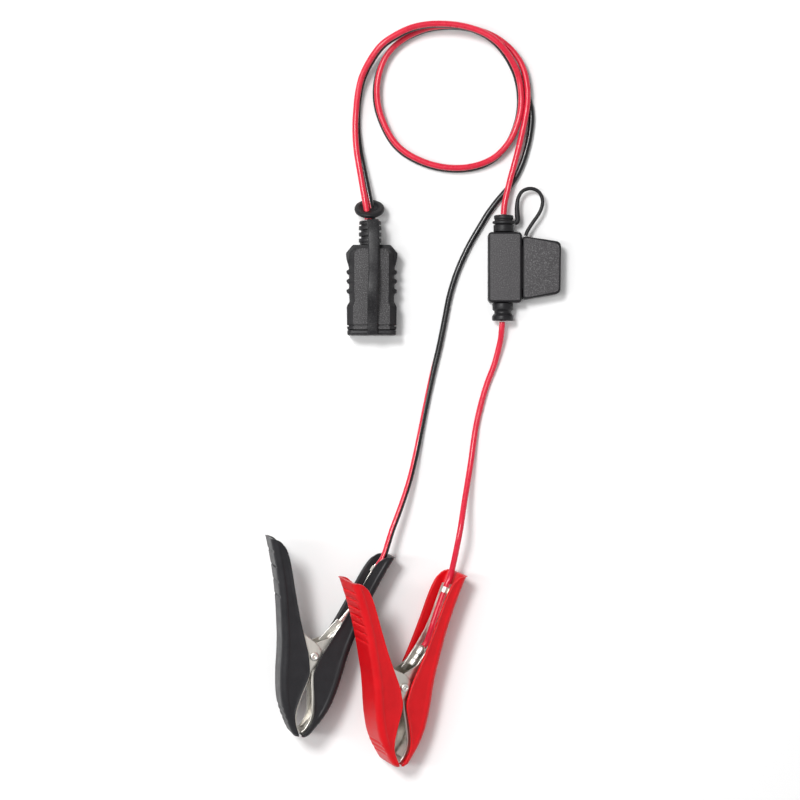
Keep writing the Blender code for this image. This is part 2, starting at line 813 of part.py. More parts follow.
def crimp_matrix():
    """The crimp's frame in its clamp: z along the barrel and x towards the channel's opening."""
    start, end = (Vector(p) for p in CRIMP_ENDS)
    ahead = (end - start).normalized()
    side = Vector((-ahead.y, ahead.x, 0)).normalized()
    across = ahead.cross(side)
    turn = Matrix((side, across, ahead)).transposed().to_4x4()
    return at(*start) @ turn


def make_crimp(colour, frame, mats):
    """A barrel crimped on the wire, with a flat tab along it."""
    length = (Vector(CRIMP_ENDS[1]) - Vector(CRIMP_ENDS[0])).length
    waist = CRIMP_RADIUS - 0.4
    barrel = [(1.7, 0.0), (CRIMP_RADIUS, 0.5), (CRIMP_RADIUS, 3.6), (waist, 4.4), (waist, 6.6)]
    barrel += [(CRIMP_RADIUS, 7.4), (CRIMP_RADIUS, length - 0.5), (1.7, length)]
    crimp = turned(
        colour + "_wire_crimp", barrel, mats["tin"], frame, crimp_matrix(), steps=14
    )
    tab = block(
        colour + "_crimp_tab", 1.75, 0.4, *CRIMP_TAB_SPAN, mats["tin"], frame,
        crimp_matrix() @ at(3.1, 0, 0), 0.3, 0.15,
    )
    boolean(crimp, tab, "UNION")


def make_clip(colour, mat, parent):
    """A loop on the channel's floor that holds the wire near the grip's end."""
    middle = wire_place(colour, CLIP_Y)
    way = wire_place(colour, CLIP_Y + 2) - wire_place(colour, CLIP_Y - 2)
    aim = way.to_track_quat("Z", "Y")
    ends = (-CLIP_HALF_LENGTH, CLIP_HALF_LENGTH)
    profile = [(CLIP_RADIUS, end) for end in ends] + [(CLIP_HOLE, end) for end in reversed(ends)]
    place = at(*middle) @ aim.to_matrix().to_4x4()
    return turned(colour + "_clip", profile, mat, parent, place, steps=16, hollow=True)


def trough_route(colour):
    """Layout points of a wire along the fixed channel, from the grip's end to the crimp."""
    matrix = clamp_matrix(colour)
    start, end = (Vector(p) for p in CRIMP_ENDS)
    route = [wire_place(colour, y) for y in (59.0, 54.0, 48.0, 42.0, 36.0, 30.0)]
    for beyond in (4.0, GAP + 0.4):
        route.append(end + (end - start).normalized() * beyond)
    return [matrix @ (place * MM) / MM for place in route]


# ---------------------------------------------------------------- cable


def make_cables(root, mats):
    red = [(x, y, z) for x, y, z, _ in TWIN_ROUTE]
    black = []
    for i, (x, y, z, tilt) in enumerate(TWIN_ROUTE):
        before = TWIN_ROUTE[max(i - 1, 0)]
        after = TWIN_ROUTE[min(i + 1, len(TWIN_ROUTE) - 1)]
        ahead = Vector((after[0] - before[0], after[1] - before[1])).normalized()
        lean = math.radians(tilt)
        across = TWIN_PITCH * math.sin(lean)
        black.append((x + ahead.y * across, y - ahead.x * across, z - TWIN_PITCH * math.cos(lean)))
    red_path = smooth_path(red + RED_ROUTE, 6.5)
    tube("cable_red_twin", red_path, WIRE_RADIUS, mats["red_wire"], root)
    black_path = smooth_path(black + BLACK_ROUTE + trough_route("black"), 9.4)
    tube("cable_black", black_path, WIRE_RADIUS, mats["black_wire"], root)
    lead_path = smooth_path(LEAD_ROUTE + trough_route("red"), 6.0)
    tube("cable_red_lead", lead_path, WIRE_RADIUS, mats["red_wire"], root)


def main():
    clear_scene()
    mats = {
        "connector": material("connector_plastic", (0.035, 0.034, 0.037), 0.62),
        "carrier": material("carrier_plastic", (0.02, 0.02, 0.022), 0.5),
        "rubber": material("boot_rubber", (0.022, 0.021, 0.023), 0.55),
        "holder": material("holder_plastic", (0.045, 0.044, 0.047), 0.6),
        "fuse": material("fuse_plastic", (0.02, 0.14, 0.55), 0.25),
        "brass": material("contact_brass", (0.75, 0.6, 0.35), 0.3, 1.0),
        "tin": material("tinned_metal", (0.72, 0.72, 0.7), 0.35, 1.0),
        "steel": material("clamp_steel", (0.66, 0.64, 0.6), 0.32, 1.0),
        "black_cover": material("black_cover_plastic", (0.022, 0.021, 0.026), 0.38),
        "red_cover": material("red_cover_plastic", (0.78, 0.02, 0.025), 0.36),
        "red_wire": material("red_cable_pvc", (0.72, 0.03, 0.05), 0.35),
        "black_wire": material("black_cable_pvc", (0.015, 0.015, 0.017), 0.4),
    }
    root = empty("charger_lead", None, at(-ORIGIN[0], -ORIGIN[1], 0))
    make_connector(root, mats)
    make_fuse_holder(root, mats)
    for colour in CLAMPS:
        make_clamp(colour, root, mats)
    make_cables(root, mats)


main()
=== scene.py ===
"""The looks of a car battery charger's clamp lead: a capped quick connector, a twin cable, an inline
blade fuse holder and two spring clamps, lying on a pale floor and seen from straight above.

Lengths are in millimetres in the layout below, as in the CAD. MM and ORIGIN take them to the frame.
"""

import json
import math

import bmesh
import bpy
from mathutils import Matrix, Vector

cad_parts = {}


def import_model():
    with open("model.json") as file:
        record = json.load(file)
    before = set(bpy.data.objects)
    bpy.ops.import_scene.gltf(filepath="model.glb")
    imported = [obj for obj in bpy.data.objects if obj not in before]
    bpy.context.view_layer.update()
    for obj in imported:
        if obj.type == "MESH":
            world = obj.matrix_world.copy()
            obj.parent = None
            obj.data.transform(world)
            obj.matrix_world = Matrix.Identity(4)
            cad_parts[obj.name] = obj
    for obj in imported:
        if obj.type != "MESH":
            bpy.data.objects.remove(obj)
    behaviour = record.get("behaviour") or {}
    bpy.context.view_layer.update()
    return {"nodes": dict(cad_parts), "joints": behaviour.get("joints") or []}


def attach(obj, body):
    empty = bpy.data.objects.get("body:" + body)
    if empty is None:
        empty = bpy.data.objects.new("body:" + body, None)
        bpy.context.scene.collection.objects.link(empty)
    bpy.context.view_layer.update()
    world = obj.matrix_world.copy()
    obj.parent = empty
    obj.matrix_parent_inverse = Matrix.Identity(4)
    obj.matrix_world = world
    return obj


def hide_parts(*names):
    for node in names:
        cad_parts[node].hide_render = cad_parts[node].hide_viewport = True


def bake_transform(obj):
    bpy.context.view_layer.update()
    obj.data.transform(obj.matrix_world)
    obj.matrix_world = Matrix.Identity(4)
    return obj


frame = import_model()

MM = 0.001
ORIGIN = Vector((0.5, 1.6, 0.0))
LEAD = "lead"
# The gap that neighbouring pieces keep, in millimetres.
GAP = 0.3

# ---------------------------------------------------------------- camera

CAMERA_CENTRE = (-6.9, 42.5)
CAMERA_HEIGHT = 1222.0
CAMERA_LENS = 100.0


def world(point):
    """A layout point in millimetres as a frame point in metres."""
    return (Vector(point) - ORIGIN) * MM


def make_camera():
    data = bpy.data.cameras.new("camera")
    data.lens = CAMERA_LENS
    data.sensor_width = 36.0
    data.clip_end = 20.0
    camera = bpy.data.objects.new("camera", data)
    camera.location = world((*CAMERA_CENTRE, CAMERA_HEIGHT))
    bpy.context.scene.collection.objects.link(camera)
    bpy.context.scene.camera = camera


make_camera()

# ---------------------------------------------------------------- mesh helpers


def at(x, y, z):
    """Places a piece whose own points are millimetres from this layout point."""
    return Matrix.Translation(world((x, y, z)))


def settle(obj, matrix):
    """Bakes a placement into the mesh, so that the object sits at the origin as CAD nodes do."""
    obj.data.transform(matrix)
    return obj


def solid(name, points, faces, mats, matrix=None, sharp=38.0):
    """One closed mesh from points in millimetres. mats is one material or a list of slots."""
    mesh = bpy.data.meshes.new(name)
    mesh.from_pydata([Vector(p) * MM for p in points], [], faces)
    shape = bmesh.new()
    shape.from_mesh(mesh)
    bmesh.ops.recalc_face_normals(shape, faces=shape.faces)
    shape.to_mesh(mesh)
    shape.free()
    for mat in mats if isinstance(mats, list) else [mats]:
        mesh.materials.append(mat)
    obj = bpy.data.objects.new(name, mesh)
    bpy.context.scene.collection.objects.link(obj)
    settle(obj, at(0, 0, 0) if matrix is None else matrix)
    smooth(obj, sharp)
    return obj


def smooth(obj, sharp=38.0):
    obj.data.shade_smooth()
    obj.data.set_sharp_from_angle(angle=math.radians(sharp))


def loft(name, rings, mats, matrix=None, closed=False, sharp=38.0):
    """Skins rings of equally many points. The ends are capped, or joined if closed."""
    count = len(rings[0])
    points = [p for ring in rings for p in ring]
    faces = []
    for i in range(len(rings) if closed else len(rings) - 1):
        a = i * count
        b = (i + 1) % len(rings) * count
        for j in range(count):
            k = (j + 1) % count
            faces.append((a + j, a + k, b + k, b + j))
    if not closed:
        faces.append(tuple(range(count))[::-1])
        faces.append(tuple(range(len(points) - count, len(points))))
    return solid(name, points, faces, mats, matrix, sharp)


def turned(name, profile, mats, matrix=None, steps=48, squash=1.0, hollow=False, sharp=38.0):
    """A turned piece about its own z axis from (radius, height) points, flattened along y by squash."""
    rings = []
    for radius, height in profile:
        ring = []
        for i in range(steps):
            angle = 2 * math.pi * i / steps
            ring.append((radius * math.cos(angle), squash * radius * math.sin(angle), height))
        rings.append(ring)
    return loft(name, rings, mats, matrix, closed=hollow, sharp=sharp)


def filleted(outline, radius, steps=4, closed=True):
    """The outline with each corner turned into an arc, as far as its edges leave room."""
    done = []
    count = len(outline)
    for i, corner in enumerate(outline):
        corner = Vector(corner)
        if not closed and i in (0, count - 1):
            done.append(tuple(corner))
            continue
        before = Vector(outline[i - 1]) - corner
        after = Vector(outline[(i + 1) % count]) - corner
        reach = min(radius, 0.45 * before.length, 0.45 * after.length)
        start = corner + before.normalized() * reach
        end = corner + after.normalized() * reach
        for arc_step in range(steps + 1):
            t = arc_step / steps
            done.append(tuple((1 - t) ** 2 * start + 2 * t * (1 - t) * corner + t * t * end))
    return done


def rounded(half_x, half_y, corner, steps=6):
    """A rectangle about the origin with round corners."""
    outline = []
    for turn, (sx, sy) in enumerate(((1, 1), (-1, 1), (-1, -1), (1, -1))):
        for i in range(steps + 1):
            angle = math.radians(90 * turn + 90 * i / steps)
            x = sx * (half_x - corner) + corner * math.cos(angle)
            y = sy * (half_y - corner) + corner * math.sin(angle)
            outline.append((x, y))
    return outline


def block(name, half_x, half_y, z0, z1, mats, matrix=None, corner=0.6, edge=0.5, steps=4):
    """A box with round corners and rims."""
    rims = []
    for i in range(steps + 1):
        angle = math.radians(90 * i / steps)
        rims.append((edge * (1 - math.sin(angle)), edge * (1 - math.cos(angle))))
    layers = [(inset, z0 + rise) for inset, rise in rims]
    layers += [(inset, z1 - rise) for inset, rise in reversed(rims)]
    rings = []
    for inset, z in layers:
        outline = rounded(half_x - inset, half_y - inset, max(corner - inset, 0.12))
        rings.append([(x, y, z) for x, y in outline])
    return loft(name, rings, mats, matrix)


def applied(obj, sharp=38.0):
    """The object with its modifiers made real."""
    bpy.context.view_layer.update()
    graph = bpy.context.evaluated_depsgraph_get()
    mesh = bpy.data.meshes.new_from_object(obj.evaluated_get(graph))
    old = obj.data
    obj.modifiers.clear()
    obj.data = mesh
    bpy.data.meshes.remove(old)
    smooth(obj, sharp)
    return obj


def cut(obj, *tools, operation="DIFFERENCE"):
    """Cuts each tool from the object, or joins it, and removes the tool."""
    for tool in tools:
        modifier = obj.modifiers.new("cut", "BOOLEAN")
        modifier.operation = operation
        modifier.solver = "EXACT"
        modifier.object = tool
    applied(obj)
    for tool in tools:
        bpy.data.objects.remove(tool, do_unlink=True)
    return obj


def face_up(obj, least_height, slot=1, slope=0.93):
    """Gives the faces that look up, above a height in millimetres, another material slot."""
    for face in obj.data.polygons:
        if face.normal.z > slope and face.center.z > least_height * MM:
            face.material_index = slot


def smooth_path(route, spacing, samples=12):
    """Points about spacing apart on a smooth curve through the route's points."""
    points = [Vector(p) for p in route]
    points = [2 * points[0] - points[1], *points, 2 * points[-1] - points[-2]]
    fine = []
    for i in range(1, len(points) - 2):
        before, start, end, after = points[i - 1 : i + 3]
        for sample in range(samples):
            t = sample / samples
            fine.append(
                0.5
                * (
                    2 * start
                    + (end - before) * t
                    + (2 * before - 5 * start + 4 * end - after) * t**2
                    + (3 * start - before - 3 * end + after) * t**3
                )
            )
    fine.append(points[-2])
    ways = [0.0]
    for a, b in zip(fine, fine[1:]):
        ways.append(ways[-1] + (b - a).length)
    count = max(2, round(ways[-1] / spacing))
    path = []
    at_span = 0
    for i in range(count + 1):
        way = ways[-1] * i / count
        while at_span < len(fine) - 2 and ways[at_span + 1] < way:
            at_span += 1
        share = (way - ways[at_span]) / (ways[at_span + 1] - ways[at_span])
        path.append(fine[at_span].lerp(fine[at_span + 1], share))
    return path


def swept(name, path, radius_at, mats, sides=20):
    """A round tube along a layout path. radius_at gives the radius from the share of the way."""
    rings = []
    side = None
    for i, middle in enumerate(path):
        ahead = (path[min(i + 1, len(path) - 1)] - path[max(i - 1, 0)]).normalized()
        if side is None:
            side = ahead.cross(Vector((0, 0, 1)))
            if side.length < 0.1:
                side = Vector((1, 0, 0))
        side = (side - ahead * side.dot(ahead)).normalized()
        up = ahead.cross(side)
        radius = radius_at(i / (len(path) - 1))
        ring = []
        for j in range(sides):
            angle = 2 * math.pi * j / sides
            ring.append(middle + side * (radius * math.cos(angle)) + up * (radius * math.sin(angle)))
        rings.append(ring)
    return loft(name, rings, mats, sharp=50.0)


# ---------------------------------------------------------------- materials


def shades(colour, spread):
    """A darker and a lighter shade of a colour, a share of it apart."""
    low = tuple(max(c * (1 - spread), 0.0) for c in colour)
    high = tuple(min(c * (1 + spread), 1.0) for c in colour)
    return (*low, 1.0), (*high, 1.0)


def noise(nodes, links, coords, size, detail=3.0, stretch=(1, 1, 1)):
    """Noise whose blobs are about size millimetres across, in the piece's own space."""
    mapping = nodes.new("ShaderNodeMapping")
    mapping.inputs["Scale"].default_value = stretch
    links.new(coords.outputs["Object"], mapping.inputs["Vector"])
    texture = nodes.new("ShaderNodeTexNoise")
    texture.inputs["Scale"].default_value = 1000.0 / size
    texture.inputs["Detail"].default_value = detail
    texture.inputs["Roughness"].default_value = 0.6
    links.new(mapping.outputs["Vector"], texture.inputs["Vector"])
    return texture


def ramp(nodes, links, source, stops):
    """Colours by a socket's value, from (place, colour) stops."""
    made = nodes.new("ShaderNodeValToRGB")
    elements = made.color_ramp.elements
    while len(elements) < len(stops):
        elements.new(0.5)
    for element, (place, colour) in zip(elements, stops):
        element.position = place
        element.color = colour
    links.new(source, made.inputs["Fac"])
    return made.outputs["Color"]


def mixed(nodes, links, share, first, second):
    """Blends two colours. Each is a socket or a colour, and share is a socket."""
    mix = nodes.new("ShaderNodeMix")
    mix.data_type = "RGBA"
    links.new(share, mix.inputs["Factor"])
    for value, place in ((first, 6), (second, 7)):
        if isinstance(value, tuple):
            mix.inputs[place].default_value = value
        else:
            links.new(value, mix.inputs[place])
    return mix.outputs[2]


def ranged(nodes, links, source, low, high, start=0.3, end=0.7):
    """A socket that goes from low to high while the source goes from start to end."""
    made = nodes.new("ShaderNodeMapRange")
    made.inputs["From Min"].default_value = start
    made.inputs["From Max"].default_value = end
    made.inputs["To Min"].default_value = low
    made.inputs["To Max"].default_value = high
    links.new(source, made.inputs["Value"])
    return made.outputs["Result"]


def bumped(nodes, links, shader, layers):
    """Stacks bumps of (height socket, depth in millimetres) on the shader."""
    normal = None
    for height, depth in layers:
        bump = nodes.new("ShaderNodeBump")
        bump.inputs["Strength"].default_value = 1.0
        bump.inputs["Distance"].default_value = depth * MM
        links.new(height, bump.inputs["Height"])
        if normal is not None:
            links.new(normal, bump.inputs["Normal"])
        normal = bump.outputs["Normal"]
    links.new(normal, shader.inputs["Normal"])


def surface(
    name,
    colour,
    roughness,
    grain=0.5,
    depth=0.02,
    glint_speckle=0.0,
    spread=0.12,
    wear=0.0,
    metallic=0.0,
    stretch=(1, 1, 1),
    fixed=(),
    ripple=0.0,
):
    """Moulded plastic, rubber or metal: cloudy colour, a fine grain, painted glints as bright specks in the
    colour, worn edges.
    """
    mat = bpy.data.materials.new(name)
    mat.use_nodes = True
    nodes, links = mat.node_tree.nodes, mat.node_tree.links
    shader = nodes["Principled BSDF"]
    coords = nodes.new("ShaderNodeTexCoord")
    cloud = noise(nodes, links, coords, 9.0, 4.0, stretch)
    fine = noise(nodes, links, coords, grain, 4.0, stretch)
    low, high = shades(colour, spread)
    tint = ramp(nodes, links, cloud.outputs["Fac"], [(0.35, low), (0.65, high)])
    # Painted glints: bright specks lightened into the colour, which stand in for light caught by the grain.
    if glint_speckle:
        bright = tuple(min(c + glint_speckle, 1.0) for c in colour)
        glint_dots = ranged(nodes, links, fine.outputs["Fac"], 0.0, 1.0, 0.5, 0.72)
        tint = mixed(nodes, links, glint_dots, tint, (*bright, 1.0))
    if wear:
        edge = nodes.new("ShaderNodeNewGeometry")
        worn = ranged(nodes, links, edge.outputs["Pointiness"], 0.0, wear, 0.52, 0.62)
        tint = mixed(nodes, links, worn, tint, shades(colour, 2.2)[1])
    links.new(tint, shader.inputs["Base Color"])
    shader.inputs["Metallic"].default_value = metallic
    rough = ranged(nodes, links, cloud.outputs["Fac"], roughness * 0.82, min(roughness * 1.2, 1.0))
    links.new(rough, shader.inputs["Roughness"])
    layers = [(fine.outputs["Fac"], depth)]
    if ripple:
        layers.append((cloud.outputs["Fac"], ripple))
    bumped(nodes, links, shader, layers)
    for socket, value in fixed:
        shader.inputs[socket].default_value = value
    return mat


def wire_surface(name, colour, other=None):
    """Glossy PVC with faint extrusion marks. Where the stripe attribute is positive, the other colour."""
    mat = surface(name, colour, 0.28, grain=1.4, depth=0.006, spread=0.05, ripple=0.02)
    shader = mat.node_tree.nodes["Principled BSDF"]
    shader.inputs["Specular IOR Level"].default_value = 0.35
    shader.inputs["Coat Weight"].default_value = 0.3
    shader.inputs["Coat Roughness"].default_value = 0.16
    if other is None:
        return mat
    nodes, links = mat.node_tree.nodes, mat.node_tree.links
    stripe = nodes.new("ShaderNodeAttribute")
    stripe.attribute_name = "stripe"
    share = ranged(nodes, links, stripe.outputs["Fac"], 0.0, 1.0, -0.02, 0.04)
    base = shader.inputs["Base Color"].links[0].from_socket
    links.new(mixed(nodes, links, share, base, (*other, 1.0)), shader.inputs["Base Color"])
    return mat


RED_PVC = (0.68, 0.015, 0.045)
BLACK_PVC = (0.006, 0.006, 0.007)
MOULDED_BLACK = (0.011, 0.0105, 0.012)
BRUSHED = (1.0, 0.16, 1.0)
MATT = [("Specular IOR Level", 0.28)]

# The sixth value of a surface, where given, is the strength of its painted glints: bright specks in the
# colour.
MATS = {
    "red_wire": wire_surface("red_pvc", RED_PVC),
    "black_wire": wire_surface("black_pvc", BLACK_PVC, RED_PVC),
    "shell": surface("connector_shell", MOULDED_BLACK, 0.5, 0.45, 0.03, 0.02, wear=0.35, fixed=MATT),
    "panel": surface("connector_panel", (0.043, 0.041, 0.043), 0.6, 0.5, 0.06, 0.17, fixed=MATT),
    "rubber": surface("boot_rubber", MOULDED_BLACK, 0.42, 0.5, 0.012, 0.01, wear=0.25, fixed=MATT),
    "strap": surface("strap_rubber", MOULDED_BLACK, 0.42, 0.5, 0.03, 0.045, wear=0.2, fixed=MATT),
    "holder_edge": surface(
        "holder_shell", (0.009, 0.0085, 0.01), 0.45, 0.45, 0.02, 0.015, wear=0.3, fixed=MATT
    ),
    "holder_face": surface("holder_face", (0.054, 0.051, 0.054), 0.58, 0.5, 0.06, 0.13, fixed=MATT),
    "carrier": surface("carrier_nylon", (0.02, 0.02, 0.022), 0.5, 0.4, 0.02, 0.02),
    "brass": surface("contact_brass", (0.78, 0.6, 0.3), 0.28, 0.4, 0.01, 0.0, 0.08, metallic=1.0),
    "tin": surface("tinned_copper", (0.8, 0.79, 0.75), 0.42, 0.5, 0.02, 0.0, 0.1, metallic=1.0),
    "steel": surface(
        "zinc_steel", (0.78, 0.75, 0.69), 0.42, 0.7, 0.014, 0.0, 0.14, metallic=1.0,
        stretch=BRUSHED, ripple=0.03,
    ),
    "fuse": surface("fuse_polymer", (0.02, 0.12, 0.5), 0.25, 0.4, 0.008, 0.0, 0.08),
    "black_cover": surface(
        "black_vinyl", (0.017, 0.0165, 0.019), 0.42, 0.35, 0.01, 0.008, 0.15, wear=0.25, fixed=MATT,
        ripple=0.03,
    ),
    "red_cover": surface(
        "red_vinyl", (0.67, 0.004, 0.009), 0.38, 0.35, 0.008, 0.0, 0.05, fixed=MATT, ripple=0.03
    ),
}


def piece(obj, body, node):
    """A piece that replaces one CAD node and rides on its body."""
    obj.name = node + "_fine"
    if body is not None:
        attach(obj, body)
    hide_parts(node)
    return obj


# ---------------------------------------------------------------- clamp sections

COVER_HALF = 10.0
COVER_WALL = 1.7
COVER_CORNER = 3.4
LIP_DEPTH = 0.33
STEEL_THICKNESS = 1.0
STEEL_BACK = COVER_WALL + GAP
STEEL_HALF = {"moving": 8.0, "fixed": 6.7}
EAR_HOLE = 1.8
RIVET_RADIUS = 1.5
RIVET_HEAD_RADIUS = 2.4
SPRING_RADIUS = 3.4
SPRING_WIRE = 0.8
SPRING_TURNS = 3
SPRING_PITCH = 1.95
COIL_STEPS = 60
CRIMP_RADIUS = 2.2
CRIMP_ENDS = ((9.3, 8.8, -2.6), (15.7, 18.4, -2.2))
CRIMP_TAB_SPAN = (-3.9, 11.1)
CLIP_Y = 50.5
CLIP_HOLE = 1.95
CLIP_RADIUS = 2.7
CLIP_HALF_LENGTH = 1.6
# The steel is solid past this distance from the pivot, at the jaw's tip.
STEEL_TIP = -40.5

# Distance from the pivot towards the grip, back and edge of a cover.
CLAMP_STATIONS = [
    (-44.0, 3.2, 0.7),
    (-42.8, 4.9, 1.1),
    (-40.0, 6.6, 2.8),
    (-35.5, 9.6, 4.7),
    (-31.0, 12.0, 5.2),
    (-25.0, 14.2, 4.3),
    (-20.0, 15.4, 3.3),
    (-14.0, 16.5, 1.8),
    (-9.0, 17.2, 0.9),
    (-4.0, 17.7, 2.3),
    (0.0, 18.2, 3.1),
    (7.0, 19.3, 6.2),
    (18.8, 21.9, 11.3),
    (27.6, 24.0, 14.6),
    (35.7, 26.3, 17.5),
    (44.2, 29.1, 20.4),
    (48.9, 30.8, 22.2),
    (52.2, 32.1, 23.7),
    (55.6, 33.4, 25.6),
    (57.8, 34.3, 27.6),
    (59.0, 34.8, 30.2),
    (59.4, 35.0, 32.6),
]
# Distance from the pivot and edge of the steel channel's walls.
STEEL_STATIONS = [
    (-42.0, 0.3),
    (-41.0, 0.4),
    (-40.2, 1.8),
    (-35.5, 3.7),
    (-31.0, 4.2),
    (-25.0, 3.3),
    (-20.0, 2.3),
    (-14.0, 0.9),
    (-9.0, 0.3),
    (-7.5, 0.0),
    (-3.8, -2.6),
    (-2.0, -3.7),
    (0.0, -4.2),
    (2.0, -4.1),
    (4.5, -3.0),
    (7.5, 0.4),
    (9.5, 5.0),
    (11.5, 7.8),
    (18.8, 12.9),
    (27.6, 18.2),
    (35.7, 21.8),
    (44.2, 24.6),
    (53.0, 27.9),
]
# Yaw, pitch and roll of each clamp, in degrees.
CLAMP_TURNS = {"black": (10.0, 1.0, 14.5), "red": (3.0, 8.0, 28.5)}
# Where each wire lies in the grip of its fixed channel: clear of the floor, and above the middle.
WIRE_SEATS = {"black": (0.4, 3.2), "red": (0.6, 0.0)}
# Where the grooves of the grip lie, across the back of each cover.
GRIP_GROOVE_DEPTH = 0.75
GRIP_GROOVES = {"black": (52.5, 44.7, 36.9, 29.1), "red": (53.5, 48.9, 44.3, 39.7, 35.1, 30.5, 25.9)}
TIP_GROOVE_DEPTH = 0.6
TIP_GROOVES = (-30.5, -33.5, -36.5)


def clamp_matrix(colour):
    """A clamp's frame: x to the right, y to the grip and z along its pivot."""
    yaw, pitch, roll = CLAMP_TURNS[colour]
    turn = (
        Matrix.Rotation(math.radians(-yaw), 4, "Z")
        @ Matrix.Rotation(math.radians(pitch), 4, "X")
        @ Matrix.Rotation(math.radians(roll), 4, "Y")
    )
    joint = next(j for j in frame["joints"] if j["name"] == colour + "_clamp_hinge")
    return Matrix.Translation(Vector(joint["pos_m"])) @ turn


def in_layout(matrix, points):
    """Clamp points as layout points."""
    return [matrix @ (Vector(p) * MM) / MM + ORIGIN for p in points]


def between(stations, y, column):
    """The value in a column of the stations at y."""
    for low, high in zip(stations, stations[1:]):
        if low[0] <= y <= high[0]:
            share = (y - low[0]) / (high[0] - low[0])
            return low[column] + share * (high[column] - low[column])
    return stations[0][column] if y < stations[0][0] else stations[-1][column]


def eased(stations, y, column, reach=2.4):
    """As between, with the bends at the stations eased out."""
    reach = max(min(reach, y - stations[0][0], stations[-1][0] - y), 0.0)
    samples = [between(stations, y + reach * k / 4, column) for k in range(-4, 5)]
    return sum(samples) / len(samples)


def step(value, start, end):
    """0 below start, 1 above end, smooth between."""
    t = min(max((value - start) / (end - start), 0.0), 1.0)
    return t * t * (3 - 2 * t)


# ---------------------------------------------------------------- cords

WIRE_RADIUS = 1.65
TWIN_PITCH = 3.8
CORD_SPACING = 1.8
# The wire rises to its seat's lift between these distances from the pivot.
SEAT_RISE = (28.0, 44.0)
# x, y, z of the red conductor, and how far the black one below it tilts to the right of the way.
TWIN_ROUTE = [
    (-24.6, 140.9, 9.9, 45),
    (-25.2, 146.8, 9.9, 45),
    (-26.3, 153.0, 9.6, 44),
    (-28.4, 165.0, 8.2, 38),
    (-30.8, 180.0, 6.7, 28),
    (-31.4, 192.0, 5.9, 18),
    (-31.0, 200.5, 5.7, 13),
    (-30.1, 209.4, 6.3, 12),
    (-27.9, 218.7, 8.3, 12),
    (-23.4, 227.6, 10.8, 12),
    (-17.1, 235.8, 12.6, 10),
    (-9.1, 241.3, 13.0, 8),
    (-0.9, 245.1, 13.0, 4),
    (7.2, 246.9, 13.0, 0),
    (15.4, 247.3, 13.0, 0),
    (23.6, 246.7, 13.0, 0),
    (31.7, 245.0, 13.0, 0),
    (39.7, 241.8, 13.0, 4),
    (46.0, 237.4, 12.8, 8),
    (51.0, 232.1, 11.4, 12),
    (54.5, 227.0, 9.2, 14),
    (57.3, 221.4, 7.0, 14),
    (58.9, 215.2, 5.8, 12),
    (59.5, 208.7, 5.6, 10),
    (59.2, 202.1, 5.6, 8),
    (57.8, 195.3, 5.6, 6),
    (54.7, 187.0, 5.5, 4),
    (50.3, 180.5, 5.5, 0),
    (44.6, 175.2, 5.5, -6),
    (37.3, 171.7, 5.5, -12),
    (28.5, 169.8, 5.5, -11),
    (19.4, 169.8, 5.5, -11),
    (10.8, 171.4, 5.5, -11),
    (2.7, 174.4, 5.5, -11),
    (-4.8, 178.8, 5.5, -11),
    (-10.6, 184.6, 5.5, -11),
    (-15.4, 193.2, 5.5, -11),
    (-18.6, 202.8, 5.5, -13),
    (-19.5, 212.0, 5.5, -12),
    (-18.5, 220.4, 5.5, -10),
    (-15.8, 228.2, 5.5, -8),
    (-11.6, 234.5, 5.5, -6),
    (-6.2, 239.3, 5.5, -4),
    (0.8, 243.4, 5.5, 0),
    (8.4, 246.1, 5.5, 0),
    (15.6, 247.2, 5.5, 0),
    (23.8, 247.4, 5.5, 0),
    (31.4, 246.3, 5.5, 0),
    (39.1, 244.0, 5.5, 0),
    (45.6, 241.0, 5.5, -4),
    (51.0, 237.2, 5.5, -8),
    (55.4, 232.8, 5.5, -8),
    (59.0, 227.5, 5.5, -8),
    (61.4, 221.7, 5.5, -8),
    (62.7, 215.0, 5.5, -10),
    (63.0, 208.4, 5.5, -11),
]
RED_ROUTE = [
    (62.5, 202.0, 5.4),
    (61.2, 194.5, 5.4),
    (59.5, 186.8, 5.4),
    (57.7, 179.2, 5.5),
    (55.6, 171.2, 5.6),
    (53.4, 163.2, 5.7),
    (51.6, 155.8, 5.9),
    (50.3, 149.6, 6.2),
    (49.8, 144.0, 6.3),
]
BLACK_ROUTE = [
    (65.0, 202.4, 1.75),
    (65.3, 195.5, 1.75),
    (64.3, 187.5, 1.75),
    (62.6, 180.0, 1.75),
    (60.1, 172.2, 1.75),
    (56.6, 164.8, 1.75),
    (52.0, 158.2, 1.75),
    (46.7, 152.0, 1.75),
    (41.6, 145.2, 1.75),
    (36.7, 137.2, 1.75),
    (31.9, 129.0, 1.75),
    (27.9, 121.0, 1.75),
    (24.5, 113.0, 1.75),
    (21.8, 105.0, 1.75),
    (19.7, 97.0, 1.75),
    (17.6, 86.0, 1.75),
    (14.5, 71.0, 1.75),
    (10.8, 55.7, 1.75),
    (7.5, 40.3, 1.75),
    (4.6, 26.0, 2.2),
    (1.6, 11.8, 4.0),
    (-1.9, -2.2, 7.0),
    (-6.6, -16.2, 10.0),
    (-11.4, -29.0, 12.0),
]
LEAD_ROUTE = [
    (49.1, 85.2, 6.3),
    (48.7, 80.5, 5.8),
    (48.0, 74.5, 4.4),
    (45.0, 62.5, 2.4),
    (40.4, 50.0, 1.8),
    (36.9, 37.5, 1.75),
    (34.4, 25.5, 2.0),
    (31.7, 7.0, 4.5),
    (28.4, -12.0, 10.0),
    (25.4, -30.0, 16.0),
]
# Share of the black conductor's width that its red tracer takes, on its left, at each y of the layout.
TRACER_STOPS = [(-30.0, 0.64), (-8.0, 0.64), (50.0, 0.28), (68.0, 0.0)]
# The same near the connector, where the conductor leaves it.
TRACER_TOP_STOPS = [(148.0, 0.5), (172.0, 0.0)]


